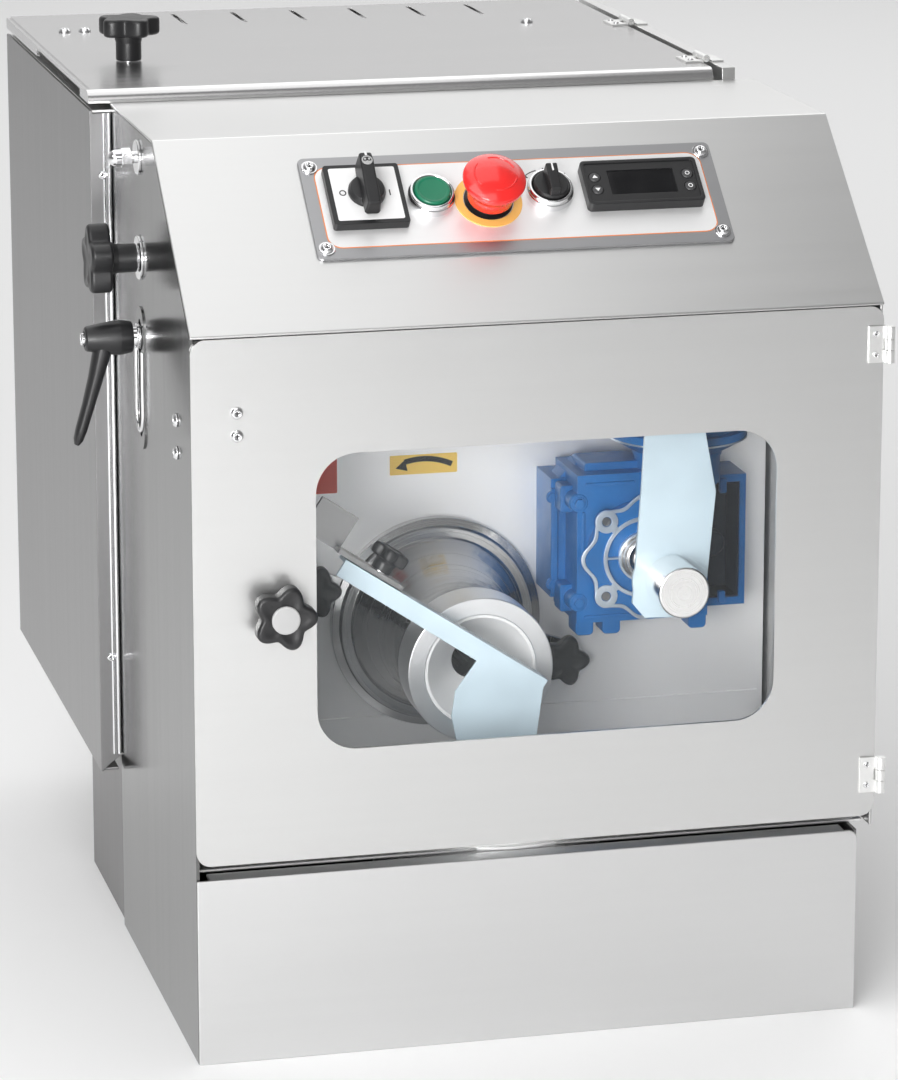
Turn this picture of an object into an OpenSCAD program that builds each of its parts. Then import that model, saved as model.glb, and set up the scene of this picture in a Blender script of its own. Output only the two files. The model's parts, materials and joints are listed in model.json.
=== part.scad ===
// Bench-top dough portioner in folded stainless sheet: an auger pushes dough
// out of a nozzle, a flap sets the portion length and a swinging knife cuts it.
// Positions inside placed() count from the front left bottom corner:
// x to the right, y to the back, z up. The origin is under the base's middle.

/* [Casing] */
// Width of the base skirt
base_w = 420; // [416:2:424]
// Depth of the base skirt
base_d = 400; // [380:5:420]
// Width of the front housing
front_w = 430; // [428:2:434]
// Depth of the front housing
front_d = 266; // [264:1:268]
// Height of the lower front panel
skirt_h = 118; // [116:1:118]
// Height of the door's bottom edge
door_z0 = 127; // [126:1:130]
// Height of the fold between the door opening and the sloped fascia
fold_z = 454; // [452:1:456]
// Depth at which the slope meets the flat top
slope_d = 118; // [114:1:122]
// Height of the flat top of the front housing
top_z = 552; // [550:1:554]
// Depth of the whole machine
total_d = 620; // [610:5:640]
// How far the rear casing stands out to the left
cover_out = 14; // [13:1:16]
// Height of the rear casing's lower edge
cover_z0 = 108; // [104:1:112]
// Thickness of the sheet metal
sheet = 2; // [1.5:0.5:2]

/* [Door] */
// Left edge of the window
window_x = 75; // [73:1:80]
// Lower edge of the window
window_z = 195; // [190:1:200]
// Width of the window
window_w = 288; // [280:1:290]
// Height of the window
window_h = 184; // [176:1:186]
// Corner radius of the window
window_r = 25; // [15:1:30]

/* [Dough path] */
// Sideways place of the auger axis
auger_x = 200; // [198:1:202]
// Height of the auger axis
auger_z = 211; // [209:1:213]
// Outer radius of the auger flight
auger_r = 45; // [40:1:45]
// Distance between two turns of the flight
auger_pitch = 70; // [60:5:80]
// Radius of the nozzle's front ring
ring_r = 47; // [44:1:47]
// Radius of the throat that the dough leaves by
throat_r = 12; // [12:0.5:14]
// Depth of the nozzle's front face behind the door
nozzle_y = 92; // [92:1:94]
// Depth of the bulkhead between the front and the rear
bulkhead_y = 216; // [214:1:218]

/* [Knife] */
// Sideways place of the knife axis
knife_x = 321; // [320:1:322]
// Height of the knife axis
knife_z = 264; // [262:1:265]
// Reach of the knife from its axis to its tip
knife_reach = 158; // [150:1:160]
// Width of the knife at its widest place
knife_w = 47; // [40:1:48]
// Thickness of the knife blade
knife_t = 3; // [2:0.5:3]

/* [Controls] */
// Width of the control plate
plate_w = 261; // [258:1:264]
// Length of the control plate along the slope
plate_l = 80; // [78:1:82]
// Edge of the square main switch
switch_w = 47; // [45:1:48]
// Radius of the round push button bezels
bezel_r = 14.5; // [13.5:0.5:14.5]
// Radius of the emergency stop's mushroom head
mushroom_r = 19.5; // [18:0.5:20]

/* [Hidden] */
$fn = 64;

gap = 0.3;                            // between pieces that move past each other
run = 0.05;                           // radial clearance of a running fit
steel = "lightgray";
slope_a = atan2(top_z - fold_z, slope_d);
front_in = front_w - sheet;           // inner face of the right front panel
rear_x0 = -cover_out;                 // outer left face of the rear casing
rear_x1 = base_w - 3;                 // outer right face of the rear casing
deck_z = skirt_h;                     // underside of the deck
rim_z = top_z - 6;                    // underside of the hopper rim plate
lid_z0 = top_z;                       // lower edge of the lid
lid_h = 8;
lid_x1 = rear_x1 - 15;                // right edge of the lid
lid_axis_x = lid_x1 + 2.5;
lid_axis_z = lid_z0 + lid_h + 2.6;
ceiling_z = fold_z - 8;               // underside of the compartment's ceiling
chute_x = 203;
chute_y = 90;
chute_r = 70;
collar_r = 76;                         // the flat collar where the chute meets the deck
barrel_r = auger_r + 3;
hopper_y0 = 290;
hopper_y1 = 540;
mouth_x0 = 30;
mouth_x1 = 385;
flange_r = 70;
stud_r = 88;                          // from the nozzle axis to each clamping stud
stud_a = 19;
stud_shaft = 4;
worm_x = 29;                          // from the wheel axis to the worm axis
worm_y = 168;
wheel_r = 19;
motor_x = 335;
motor_z = 190;
belt_y = 562;
belt_w = 14;
slot_y = 165;
slot_z0 = 357;
slot_z1 = 432;
lever_z = 421;
flap_y = 66;
flap_a = -33.8;
flap_x = 105;
flap_z = 291;
door_axis_x = front_w + 3;
door_axis_y = -3;
hinge_h = 23;
hinge_z = [154 - hinge_h/2, 428.5 - hinge_h/2];
lid_hinge_y = [303, 482];
knob_x = 52;
knob_z = 284;

module placed() translate([-base_w/2, -base_d/2, 0]) children();
module at(x, y, z) translate([x, y, z]) children();
module along_y() rotate([-90, 0, 0]) children();
module along_x() rotate([0, 90, 0]) children();
module on_slope(x, s) translate([x, 0, fold_z]) rotate([slope_a, 0, 0]) translate([0, s, 0]) children();
module block(x0, x1, y0, y1, z0, z1) translate([x0, y0, z0]) cube([x1 - x0, y1 - y0, z1 - z0]);

// A rectangle with round corners, from its lower left corner.
module round_rect(w, h, r) {
    translate([r, 0]) square([w - 2*r, h]);
    translate([0, r]) square([w, h - 2*r]);
    for (x = [r, w - r], y = [r, h - r]) translate([x, y]) circle(r);
}

// A clamping knob with five lobes on a round neck, its base at the origin.
module lobe_knob(r, h, neck_r, neck_h) {
    cylinder(r = neck_r, h = neck_h + 1);
    translate([0, 0, neck_h]) {
        difference() {
            cylinder(r = r*0.80, h = h);
            for (k = [0:4]) rotate(36 + 72*k) translate([r, 0, -1]) cylinder(r = r*0.30, h = h + 2);
        }
        for (k = [0:4]) rotate(72*k) translate([r*0.75, 0, 0]) cylinder(r = r*0.25, h = h);
    }
}

// A domed screw head, its seat at the origin.
module dome_screw(r) intersection() {
    translate([0, 0, -r*0.35]) sphere(r = r*1.1);
    cylinder(r = r, h = r);
}

// One strap of a butt hinge with its knuckle segments, lying in the x-z plane.
// The pin's axis is the z axis through the origin and the leaf runs to -x.
module hinge_knuckle(z0, z1, bore_r) difference() {
    translate([0, 0, z0]) cylinder(r = 3, h = z1 - z0);
    translate([0, 0, z0 - 1]) cylinder(r = bore_r, h = z1 - z0 + 2);
}

/* ---------- base ---------- */

module base_tray() color(steel) placed() {
    difference() {
        block(sheet, base_w - sheet, sheet, base_d - sheet, 0, 3);
        at(chute_x, chute_y, -1) cylinder(r = chute_r + 5, h = 5);
    }
    block(base_w - sheet, base_w, sheet, base_d, 0, deck_z);
    block(sheet, base_w - sheet, base_d - sheet, base_d, 0, deck_z);
    block(sheet, 2*sheet, front_d, base_d - sheet, 3, deck_z);
}

module lower_front_panel() color(steel) placed() {
    at(0, sheet, 0) rotate([90, 0, 0]) linear_extrude(sheet) difference() {
        square([base_w, skirt_h]);
        translate([base_w - 6, skirt_h - 6]) difference() {
            square(7);
            circle(6);
        }
    }
    block(8, base_w - 8, sheet, 14, skirt_h - sheet, skirt_h);
}

module deck_plate() color(steel) placed() difference() {
    union() {
        block(2*sheet, base_w, 16, front_d, deck_z, deck_z + sheet);
        block(base_w, front_in, 16, front_d, deck_z, deck_z + sheet);
        block(rear_x0 + sheet, rear_x1 - sheet, front_d, total_d - sheet, deck_z, deck_z + sheet);
    }
    at(chute_x, chute_y, deck_z - 1) cylinder(r = collar_r + 2, h = sheet + 2);
}

module compartment_pan() color("gray") placed() {
    difference() {
        union() {
            block(8, front_in - 6, 20, bulkhead_y - sheet, door_z0 - 1, door_z0 + 1);
            block(8, front_in - 6, bulkhead_y - sheet, bulkhead_y, door_z0 - 1, 148);
            at(chute_x, chute_y, 3) cylinder(r = chute_r + sheet, h = door_z0 - 3);
        }
        at(chute_x, chute_y, 0) cylinder(r = chute_r, h = door_z0 + 5);
        at(auger_x, bulkhead_y - sheet - 1, auger_z) along_y() cylinder(r = flange_r + 1, h = sheet + 2);
    }
    difference() {
        at(chute_x, chute_y, deck_z + 0.4) cylinder(r = collar_r, h = 1.6);
        at(chute_x, chute_y, deck_z) cylinder(r = chute_r + 1, h = 3);
    }
}

/* ---------- front housing ---------- */

// The side outline of the front housing, set back under the fascia sheet.
module side_outline(inset, z0) {
    polygon([[2.5, z0], [front_d, z0], [front_d, top_z - inset], [slope_d + inset*0.36, top_z - inset],
             [2.5, fold_z - inset]]);
}

module left_side_panel() color("silver") placed() {
    difference() {
        rotate([90, 0, 90]) linear_extrude(sheet) side_outline(sheet, 0);
        for (z = [slot_z0 + 4, slot_z1 - 4]) at(-1, slot_y, z) along_x() cylinder(r = 4.3, h = sheet + 2);
        block(-1, sheet + 1, slot_y - 4.3, slot_y + 4.3, slot_z0 + 4, slot_z1 - 4);
        at(-1, slot_y, 471) along_x() cylinder(r = 4.3, h = sheet + 2);
        at(-1, slot_y, 534) along_x() cylinder(r = 3, h = sheet + 2);
    }
    slot_guide();
    latch_bracket();
}

// Thin trim ring around the lever's slot.
module slot_guide() at(0, slot_y, 0) rotate([90, 0, -90]) linear_extrude(1) difference() {
    translate([-12, slot_z0 - 8]) round_rect(24, slot_z1 - slot_z0 + 16, 11.9);
    translate([-5, slot_z0]) round_rect(10, slot_z1 - slot_z0, 4.9);
}

// Bracket inside the left panel that the door knob's stud screws into.
module latch_bracket() difference() {
    union() {
        block(sheet, 66, 22, 25, knob_z - 14, knob_z + 14);
        block(sheet, 4, 22, 48, knob_z - 14, knob_z + 14);
    }
    at(knob_x, 20, knob_z) along_y() cylinder(r = 5.5, h = 8);
}

module right_side_panel() color("silver") placed() {
    at(front_in, 0, 0) rotate([90, 0, 90]) linear_extrude(sheet) side_outline(sheet, deck_z + sheet);
    block(rear_x1 + 1, front_in, front_d - sheet, front_d, deck_z + sheet, top_z - sheet);
}

module front_fascia() color(steel) placed() {
    rotate([90, 0, 90]) linear_extrude(front_w)
        polygon([[0, fold_z], [slope_d, top_z], [front_d, top_z], [front_d, top_z - sheet],
                 [slope_d + sheet*0.36, top_z - sheet], [sheet*1.2, fold_z - 0.5],
                 [sheet*1.2, fold_z - 2], [0, fold_z - 1.4]]);
}

module bulkhead() color(steel) placed() {
    difference() {
        block(2*sheet, front_in - sheet, bulkhead_y, bulkhead_y + sheet, deck_z + sheet, ceiling_z + sheet);
        at(auger_x, bulkhead_y - 1, auger_z) along_y() cylinder(r = barrel_r, h = sheet + 2);
    }
    block(2*sheet, front_in - sheet, 18, bulkhead_y, ceiling_z, ceiling_z + sheet);
    for (side = [-1, 1]) nozzle_stud(side);
}

// The two studs sit left and right of the nozzle, the left one higher.
module at_stud(side, y) at(auger_x + side*stud_r*cos(stud_a), y, auger_z - side*stud_r*sin(stud_a))
    rotate([90, 0, 0]) children();

module nozzle_stud(side) at_stud(side, bulkhead_y) cylinder(r = stud_shaft, h = 22);

/* ---------- rear casing ---------- */

module left_rear_cover() color("darkgray") placed() {
    block(rear_x0, rear_x0 + sheet, front_d - sheet, total_d, cover_z0, rim_z + sheet);
    block(rear_x0 + sheet, -sheet, front_d, total_d - sheet, cover_z0, cover_z0 + sheet);
    at(0, front_d, 0) rotate([90, 0, 0]) linear_extrude(sheet)
        polygon([[rear_x0 + sheet, cover_z0 + 1.5], [-1.5, cover_z0 + 10],
                 [-1.5, rim_z], [rear_x0 + sheet, rim_z]]);
}

module rear_casing() color("darkgray") placed() {
    block(rear_x1 - sheet, rear_x1, front_d, total_d, deck_z + sheet, rim_z + sheet);
    difference() {
        block(rear_x0 + sheet, rear_x1 - sheet, total_d - sheet, total_d, cover_z0, rim_z + sheet);
        for (k = [0:11]) block(110 + 18*k, 116 + 18*k, total_d - 5, total_d + 1, 170, 240);
        at(40, total_d - 5, 150) along_y() cylinder(r = 8.2, h = 8);
    }
}

module hopper_rim() color(steel) placed() {
    difference() {
        block(rear_x0 + sheet, rear_x1 - sheet, front_d, total_d - sheet, rim_z, rim_z + sheet);
        block(mouth_x0, mouth_x1, hopper_y0, hopper_y1, rim_z - 1, rim_z + 3);
    }
    block(lid_x1 + 6, rear_x1, front_d + 1, total_d, rim_z + sheet, lid_z0 + lid_h);
}

// Cross-section of the hopper: a round trough that opens into a wide mouth.
module hopper_section(inset) {
    translate([auger_x, auger_z]) circle(barrel_r + inset);
    polygon([[auger_x - barrel_r - inset, auger_z], [auger_x + barrel_r + inset, auger_z],
             [mouth_x1 + inset, rim_z], [mouth_x0 - inset, rim_z]]);
}

module hopper() color("silver") placed() {
    difference() {
        at(0, hopper_y1 + sheet, 0) rotate([90, 0, 0]) linear_extrude(hopper_y1 - hopper_y0 + 2*sheet)
            hopper_section(sheet);
        at(0, hopper_y1, 0) rotate([90, 0, 0]) linear_extrude(hopper_y1 - hopper_y0) hopper_section(0);
        block(mouth_x0, mouth_x1, hopper_y0, hopper_y1, rim_z - 1, rim_z + 1);
        at(auger_x, hopper_y0 - 5, auger_z) along_y() cylinder(r = barrel_r, h = 10);
        at(auger_x, hopper_y1 - 1, auger_z) along_y() cylinder(r = 14, h = 5);
    }
    at(auger_x, bulkhead_y + sheet, auger_z) along_y() difference() {
        cylinder(r = barrel_r + sheet, h = hopper_y0 - sheet - bulkhead_y - sheet);
        translate([0, 0, -1]) cylinder(r = barrel_r, h = 100);
    }
}

module rear_bearing() color("dimgray") placed() at(auger_x, hopper_y1 + sheet, auger_z) along_y()
difference() {
    union() {
        cylinder(r = 34, h = 5);
        cylinder(r = 24, h = 15);
    }
    translate([0, 0, -1]) cylinder(r = 12 + run, h = 20);
    for (k = [0:3]) rotate(45 + 90*k) translate([28.5, 0, -1]) cylinder(r = 2.5, h = 8);
}

/* ---------- nozzle ---------- */

// Radius of the nozzle body's neck, which flares towards its flange.
function neck_r(t) = 37 + 21*t*t*t;
neck_y0 = nozzle_y + 28;
neck_y1 = bulkhead_y - 10;

module nozzle_body() color("silver") placed() {
    at(auger_x, bulkhead_y, auger_z) rotate([90, 0, 0]) rotate_extrude($fn = 96)
        polygon(concat(
            [[flange_r, 0], [flange_r, 6], [flange_r - 5, 6.8], [flange_r - 6, 10], [flange_r - 9, 10]],
            [for (k = [0:8]) [neck_r(1 - k/8), 10 + (neck_y1 - neck_y0)*k/8]],
            [[16, bulkhead_y - neck_y0], [44, 3], [44, 0]]));
    for (side = [-1, 1]) nozzle_ear(side);
}

// Ear of the flange that a clamping knob holds against the bulkhead.
module nozzle_ear(side) at(auger_x, bulkhead_y, auger_z) rotate([90, side < 0 ? 180 + stud_a : stud_a, 0])
    ear_plate();

module ear_plate() difference() {
    translate([flange_r - 4, -11, 0]) cube([stud_r - flange_r + 4, 22, 5]);
    translate([stud_r, 0, -1]) cylinder(r = stud_shaft + 0.4, h = 8);
}

module nozzle_ring() color("gainsboro") placed() at(auger_x, nozzle_y, auger_z) along_y() difference() {
    cylinder(r = ring_r, h = 28, $fn = 96);
    translate([0, 0, -1]) cylinder(r = 36, h = 30);
}

module nozzle_insert() color("white") placed() at(auger_x, nozzle_y, auger_z) along_y()
    rotate_extrude($fn = 96) polygon([[34, 1], [36, 1], [36, 28], [throat_r, 28]]);

/* ---------- knife drive ---------- */

module gearbox_housing() color("royalblue") placed() difference() {
    union() {
        block(knife_x - 42, knife_x + 46, 152, 206, knife_z - 44, knife_z + 54);
        block(knife_x - 52, knife_x + 46, 180, bulkhead_y, knife_z - 33, knife_z + 46);
        block(knife_x - 40, knife_x + 80, 180, bulkhead_y, knife_z - 46, knife_z + 42);
        at(knife_x, 147, knife_z) along_y() cylinder(r = 36, h = 10);
        at(knife_x + worm_x, worm_y, knife_z + 44) cylinder(r = 28, h = 18);
    }
    block(knife_x + 50, knife_x + 76, 179, 208, knife_z - 41, knife_z + 37);
    at(knife_x, 155, knife_z) along_y() cylinder(r = wheel_r + 4, h = 48);
    at(knife_x, 140, knife_z) along_y() cylinder(r = 9 + run, h = 70);
    at(knife_x + worm_x, worm_y, knife_z - 30) cylinder(r = 12, h = 60);
    at(knife_x + worm_x, worm_y, knife_z + 20) cylinder(r = 6 + run, h = 50);
}

module gearbox_cover() color("lightsteelblue") placed() at(knife_x, 143, knife_z) along_y() difference() {
    union() {
        cylinder(r = 35, h = 4);
        for (k = [0:3]) rotate(45 + 90*k) translate([34, 0, 0]) cylinder(r = 7, h = 4);
        for (k = [0:3]) rotate(90*k) translate([26, 0, 0]) cylinder(r = 14, h = 4);
    }
    translate([0, 0, -1]) cylinder(r = 24, h = 6);
    for (k = [0:3]) rotate(45 + 90*k) translate([34, 0, -1]) cylinder(r = 2.6, h = 6);
}

module knife_motor() color("royalblue") placed() at(knife_x + worm_x, worm_y, knife_z + 62) difference() {
    union() {
        cylinder(r = 29, h = 4);
        translate([0, 0, 4]) cylinder(r1 = 31, r2 = 45, h = 8);
        translate([0, 0, 12]) cylinder(r = 45, h = 6);
        translate([0, 0, 18]) cylinder(r = 40, h = 86);
        for (k = [0:17]) rotate(20*k) translate([39, -1, 24]) cube([4.5, 2, 72]);
        translate([0, 0, 104]) cylinder(r = 43, h = 10);
    }
    translate([0, 0, -1]) cylinder(r = 6 + run, h = 40);
}

module knife_shaft() color("silver") placed() {
    at(knife_x, 88 + gap, knife_z) along_y() cylinder(r = 9, h = 112);
    at(knife_x, 88 + gap, knife_z) along_y() cylinder(r = 15, h = 12);
    at(knife_x, worm_y - 10, knife_z) along_y() cylinder(r = wheel_r, h = 20);
}

module worm_shaft() color("silver") placed() {
    at(knife_x + worm_x, worm_y, knife_z - 26) cylinder(r = 9.5, h = 44);
    at(knife_x + worm_x, worm_y, knife_z + 18) cylinder(r = 6, h = 80);
}

// The blade points up at rest: its widest place is a third of the way out.
module knife_blade() color("lightblue") placed() at(knife_x, 88 + gap, knife_z) rotate([90, 0, 0])
    linear_extrude(knife_t) difference() {
        union() {
            polygon([[-24, -14], [-16, -24], [12, -25], [20, -14],
                     [knife_w/2 + 1.5, 0], [knife_w/2 + 6.5, 56], [12, knife_reach - 6], [-2, knife_reach],
                     [-14, knife_reach - 6], [4.5 - knife_w/2, 56], [0.5 - knife_w/2, 0]]);
            circle(24);
        }
        circle(5 + run);
    }

module knife_boss() color("silver") placed() {
    at(knife_x, 52, knife_z) along_y() cylinder(r = 16.5, h = 88 + gap - knife_t - 52);
    at(knife_x, 70, knife_z) along_y() cylinder(r = 5, h = 18 + gap);
}

/* ---------- auger drive ---------- */

module auger_screw() color("silver") placed() at(auger_x, 0, auger_z) along_y() {
    translate([0, 0, 200]) cylinder(r1 = 4, r2 = 14, h = 22);
    translate([0, 0, 222]) cylinder(r = 14, h = 315);
    translate([0, 0, 537]) cylinder(r = 12, h = 48);
    translate([0, 0, 224]) linear_extrude(308, twist = -360*308/auger_pitch, slices = 88, $fn = 8)
        translate([10, -3]) square([auger_r - 10, 6]);
}

module pulley(r, bore) difference() {
    union() {
        cylinder(r = r, h = belt_w + 4);
        cylinder(r = r + 3, h = 2);
        translate([0, 0, belt_w + 2]) cylinder(r = r + 3, h = 2);
    }
    translate([0, 0, -1]) cylinder(r = bore, h = belt_w + 8);
}

module auger_pulley() color("dimgray") placed() at(auger_x, belt_y - 2, auger_z) along_y() pulley(50, 12);

module motor_pulley() color("dimgray") placed() at(motor_x, belt_y - 2, motor_z) along_y() {
    pulley(25, 8);
    translate([0, 0, -40]) cylinder(r = 8, h = 40 + belt_w + 4);
}

// The belt runs round both pulleys and clears them by the moving gap.
module belt_outline(grow) hull() {
    translate([auger_x, -auger_z]) circle(50 + grow);
    translate([motor_x, -motor_z]) circle(25 + grow);
}

module drive_belt() color("black") placed() at(0, belt_y + gap, 0) along_y() linear_extrude(belt_w - 2*gap)
    difference() {
        belt_outline(gap + 2.2);
        belt_outline(gap);
    }

module main_motor() color("steelblue") placed() at(motor_x, 0, motor_z) along_y() difference() {
    union() {
        translate([0, 0, 330]) cylinder(r = 44, h = 110);
        for (k = [0:17]) rotate(20*k) translate([43, -1, 336]) cube([5, 2, 96]);
        translate([0, 0, 440]) cylinder(r = 52, h = 12);
        translate([-46, -46, 452]) cube([92, 92, 78]);
        translate([-50, 46, 440]) cube([100, 24, 90]);
    }
    translate([0, 0, 500]) cylinder(r = 8 + run, h = 40);
}

module cable_gland() color("black") placed() at(40, total_d - sheet - 6, 150) along_y() difference() {
    union() {
        cylinder(r = 12, h = 6, $fn = 6);
        cylinder(r = 8, h = 12);
        translate([0, 0, 8]) cylinder(r = 12, h = 6, $fn = 6);
        translate([0, 0, 14]) cylinder(r = 9.5, h = 8);
    }
    translate([0, 0, -1]) cylinder(r = 3.6, h = 30);
}

/* ---------- portion flap ---------- */

// The bracket hangs on the lever's stud and carries the flap's sloping arm.
module flap_bracket() color("dimgray") placed() {
    at(0.5, slot_y, lever_z) along_x() cylinder(r = 4, h = 11);
    block(8, 11, slot_y - 60, slot_y + 12, lever_z - 14, lever_z + 12);
    block(8, 11, slot_y - 85, slot_y - 60, 345, lever_z + 12);
    block(11, 92, slot_y - 85, slot_y - 82, 345, 363);
    block(80, 92, slot_y - 85, slot_y - 82, 310, 345);
    at(flap_x, 0, flap_z) rotate([0, -flap_a, 0]) {
        difference() {
            block(-6, 42, flap_y + 3, slot_y - 82, 6, 9);
            at(25, flap_y + 8.5, 5) cylinder(r = 2 + gap, h = 5);
        }
        block(-30, -3, slot_y - 85, slot_y - 82, 6, 30);
    }
}

// Angle with a slotted top flange; its front flange widens into the flap.
module portion_flap() color("lightblue") placed() at(flap_x, 0, flap_z) rotate([0, -flap_a, 0]) {
    difference() {
        block(0, 155, flap_y, flap_y + 15, 3, 5.5);
        block(14, 36, flap_y + 6, flap_y + 11, 2, 7);
    }
    at(0, flap_y + 2, 0) rotate([90, 0, 0]) linear_extrude(2)
        polygon([[0, -6], [0, 5.5], [155, 5.5], [155, 0], [172, -35], [134, -61],
                 [125, -56], [114, -45], [107, -30], [108, -7]]);
}

module flap_knob() color("black") placed() at(flap_x, flap_y + 8.5, flap_z) rotate([0, -flap_a, 0]) {
    translate([25, 0, 9 + gap]) lobe_knob(12.5, 8, 6.5, 8);
    translate([25, 0, 1]) cylinder(r = 2, h = 10);
}

module clamp_lever() color("black") placed() at(0, slot_y, lever_z) {
    at(-5.5, 0, 0) along_x() cylinder(r = 8.5, h = 4.2);
    at(-38, 0, 0) along_x() cylinder(r1 = 8.5, r2 = 12.5, h = 22);
    at(-16, 0, 0) along_x() cylinder(r1 = 12.5, r2 = 11, h = 10.5);
    at(-42, 0, 0) along_x() cylinder(r = 4, h = 4, $fn = 6);
    hull() {
        at(-24, 0, -6) along_x() cylinder(r = 7, h = 8, $fn = 24);
        at(-44, 0, -64) along_x() cylinder(r = 4, h = 5, $fn = 24);
    }
}

module side_knob() color("black") placed() {
    at(-2.4, slot_y, 471) rotate([0, -90, 0]) lobe_knob(22.5, 14, 9, 17);
    at(-3, slot_y, 471) along_x() cylinder(r = 4, h = 20);
}

/* ---------- nozzle knobs ---------- */

module nozzle_knob(side) at_stud(side, bulkhead_y - 5 - gap) difference() {
    lobe_knob(17, 10, 8, 8);
    translate([0, 0, -1]) cylinder(r = stud_shaft + run, h = 22);
}

module left_nozzle_knob() color("black") placed() nozzle_knob(-1);
module right_nozzle_knob() color("black") placed() nozzle_knob(1);

/* ---------- fasteners ---------- */

module casing_fasteners() color("silver") placed() {
    for (z = [374, 394]) at(0, 46, z) rotate([0, -90, 0]) dome_screw(4.2);
    for (z = [186, 506]) at(-6, front_d - sheet, z) rotate([90, 0, 0]) dome_screw(3);
    at(0, slot_y, 534) rotate([0, -90, 0]) acorn_nut();
    at(0, slot_y, 471) rotate([0, -90, 0]) difference() {
        cylinder(r = 14, h = 2);
        translate([0, 0, -1]) cylinder(r = 4.3, h = 4);
    }
    for (x = [6.5, plate_w - 6.5], s = [8, plate_l - 8]) on_slope(86 + x, 52.5 + s)
        translate([0, 0, sheet]) dome_screw(4.6);
}

module acorn_nut() {
    cylinder(r = 11, h = 2);
    cylinder(r = 4, h = 8);
    translate([0, 0, 5]) cylinder(r = 6.2, h = 6, $fn = 6);
    translate([0, 0, 11]) cylinder(r = 5.2, h = 3);
    translate([0, 0, 14]) sphere(r = 5.2);
}

/* ---------- door ---------- */

// The hinge's body leaf lies on the right front panel and holds the pin.
module body_leaf(z0) at(door_axis_x, door_axis_y, z0) {
    translate([0, 0, 8.2]) cylinder(r = 3, h = hinge_h - 16.4);
    cylinder(r = 1.5, h = hinge_h);
    block(-3, -1.5, 4, 18, 0, hinge_h);
    block(-2.5, -1, 2.2, 5, 8.2, hinge_h - 8.2);
}

module door_leaf(z0) at(door_axis_x, door_axis_y, z0) {
    hinge_knuckle(0, 8, 1.5 + run);
    hinge_knuckle(hinge_h - 8, hinge_h, 1.5 + run);
    for (z = [0, hinge_h - 8]) block(-5, -2, 1.6, 3, z, z + 8);
    block(-13, -4, 1.6, 3, 0, hinge_h);
}

// The lid hinges: the fixed leaf is on the hinge rail and holds the pin.
module rail_leaf(y0) at(lid_axis_x, y0 - 12, lid_axis_z) along_y() {
    translate([0, 0, 8.2]) cylinder(r = 2.4, h = 7.6);
    cylinder(r = 1.2, h = 24);
    block(1.8, 12, 1.3, 2.6, 8.2, 15.8);
    block(4, 12, 1.3, 2.6, 0, 24);
}

module lid_leaf(y0) at(lid_axis_x, y0 - 12, lid_axis_z) along_y() {
    for (z = [0, 16]) difference() {
        translate([0, 0, z]) cylinder(r = 2.4, h = 8);
        translate([0, 0, z - 1]) cylinder(r = 1.2 + run, h = 10);
    }
    for (z = [0, 16]) block(-5, -1.8, 1.3, 2.6, z, z + 8);
    block(-14, -4, 1.3, 2.6, 0, 24);
}

module fixed_hinge_leaves() color("whitesmoke") placed() {
    for (z = hinge_z) body_leaf(z);
    for (y = lid_hinge_y) rail_leaf(y);
}

module door_panel() color(steel) placed() difference() {
    union() {
        at(0, sheet, 0) rotate([90, 0, 0]) linear_extrude(sheet) difference() {
            translate([0, door_z0]) round_rect(front_w, fold_z - 2 - door_z0, 9);
            translate([window_x, window_z]) round_rect(window_w, window_h, window_r);
        }
        difference() {
            block(3, front_in - 2, sheet, 15, door_z0 + 2, fold_z - 12);
            block(3 + sheet, front_in - 2 - sheet, sheet - 1, 16, door_z0 + 4, fold_z - 14);
        }
    }
    at(knob_x, -1, knob_z) along_y() cylinder(r = 3.6, h = 4);
}

module door_window() color("lightcyan", 0.4) placed() at(0, sheet + 4, 0) rotate([90, 0, 0])
    linear_extrude(4) translate([window_x - 12, window_z - 12])
        round_rect(window_w + 24, window_h + 24, window_r);

module door_hinge_leaves() color("whitesmoke") placed() for (z = hinge_z) door_leaf(z);

module door_screws() color("silver") placed() {
    for (z = [393, 407]) at(27.5, 0, z) rotate([90, 0, 0]) dome_screw(3.8);
    for (z = hinge_z, dz = [5, hinge_h - 5])
        at(door_axis_x - 8.5, -1.4, z + dz) rotate([90, 0, 0]) dome_screw(2);
}

module door_knob() color("black") placed() at(knob_x, -gap, knob_z) rotate([90, 0, 0]) {
    lobe_knob(20, 12, 8, 8);
    translate([0, 0, 18]) cylinder(r = 8.6, h = 3.4);
    translate([0, 0, -26]) cylinder(r = 3, h = 27);
}

/* ---------- lid ---------- */

// Shallow folded lid with a round front edge, vent slots at the back and
// a finger recess in its left skirt.
module lid_panel() color("silver") placed() difference() {
    union() {
        block(rear_x0 + 3, lid_x1, front_d + 8, total_d, lid_z0, lid_z0 + lid_h);
        block(rear_x0, lid_x1, front_d + 8, total_d, lid_z0, lid_z0 + lid_h - 1);
        block(rear_x0, lid_x1, front_d + 1, front_d + 9, lid_z0, lid_z0 + 1);
        at(rear_x0, front_d + 8, lid_z0 + 1) along_x() difference() {
            cylinder(r = 7, h = lid_x1 - rear_x0);
            translate([0, 0, -1]) cube([8, 8, lid_x1 - rear_x0 + 2]);
            translate([0, 0, -1]) translate([0, -8, 0]) cube([8, 8, lid_x1 - rear_x0 + 2]);
        }
    }
    block(rear_x0 + sheet, lid_x1 - sheet, front_d + 9, total_d - sheet,
          lid_z0 - 1, lid_z0 + lid_h - sheet);
    block(rear_x0 - 1, rear_x0 + 3, 300, 480, lid_z0 - 1, lid_z0 + lid_h - sheet - 1);
    for (k = [0:6]) block(58.5 + 43*k, 61.5 + 43*k, 552, 604, lid_z0, lid_z0 + lid_h + 1);
}

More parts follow.
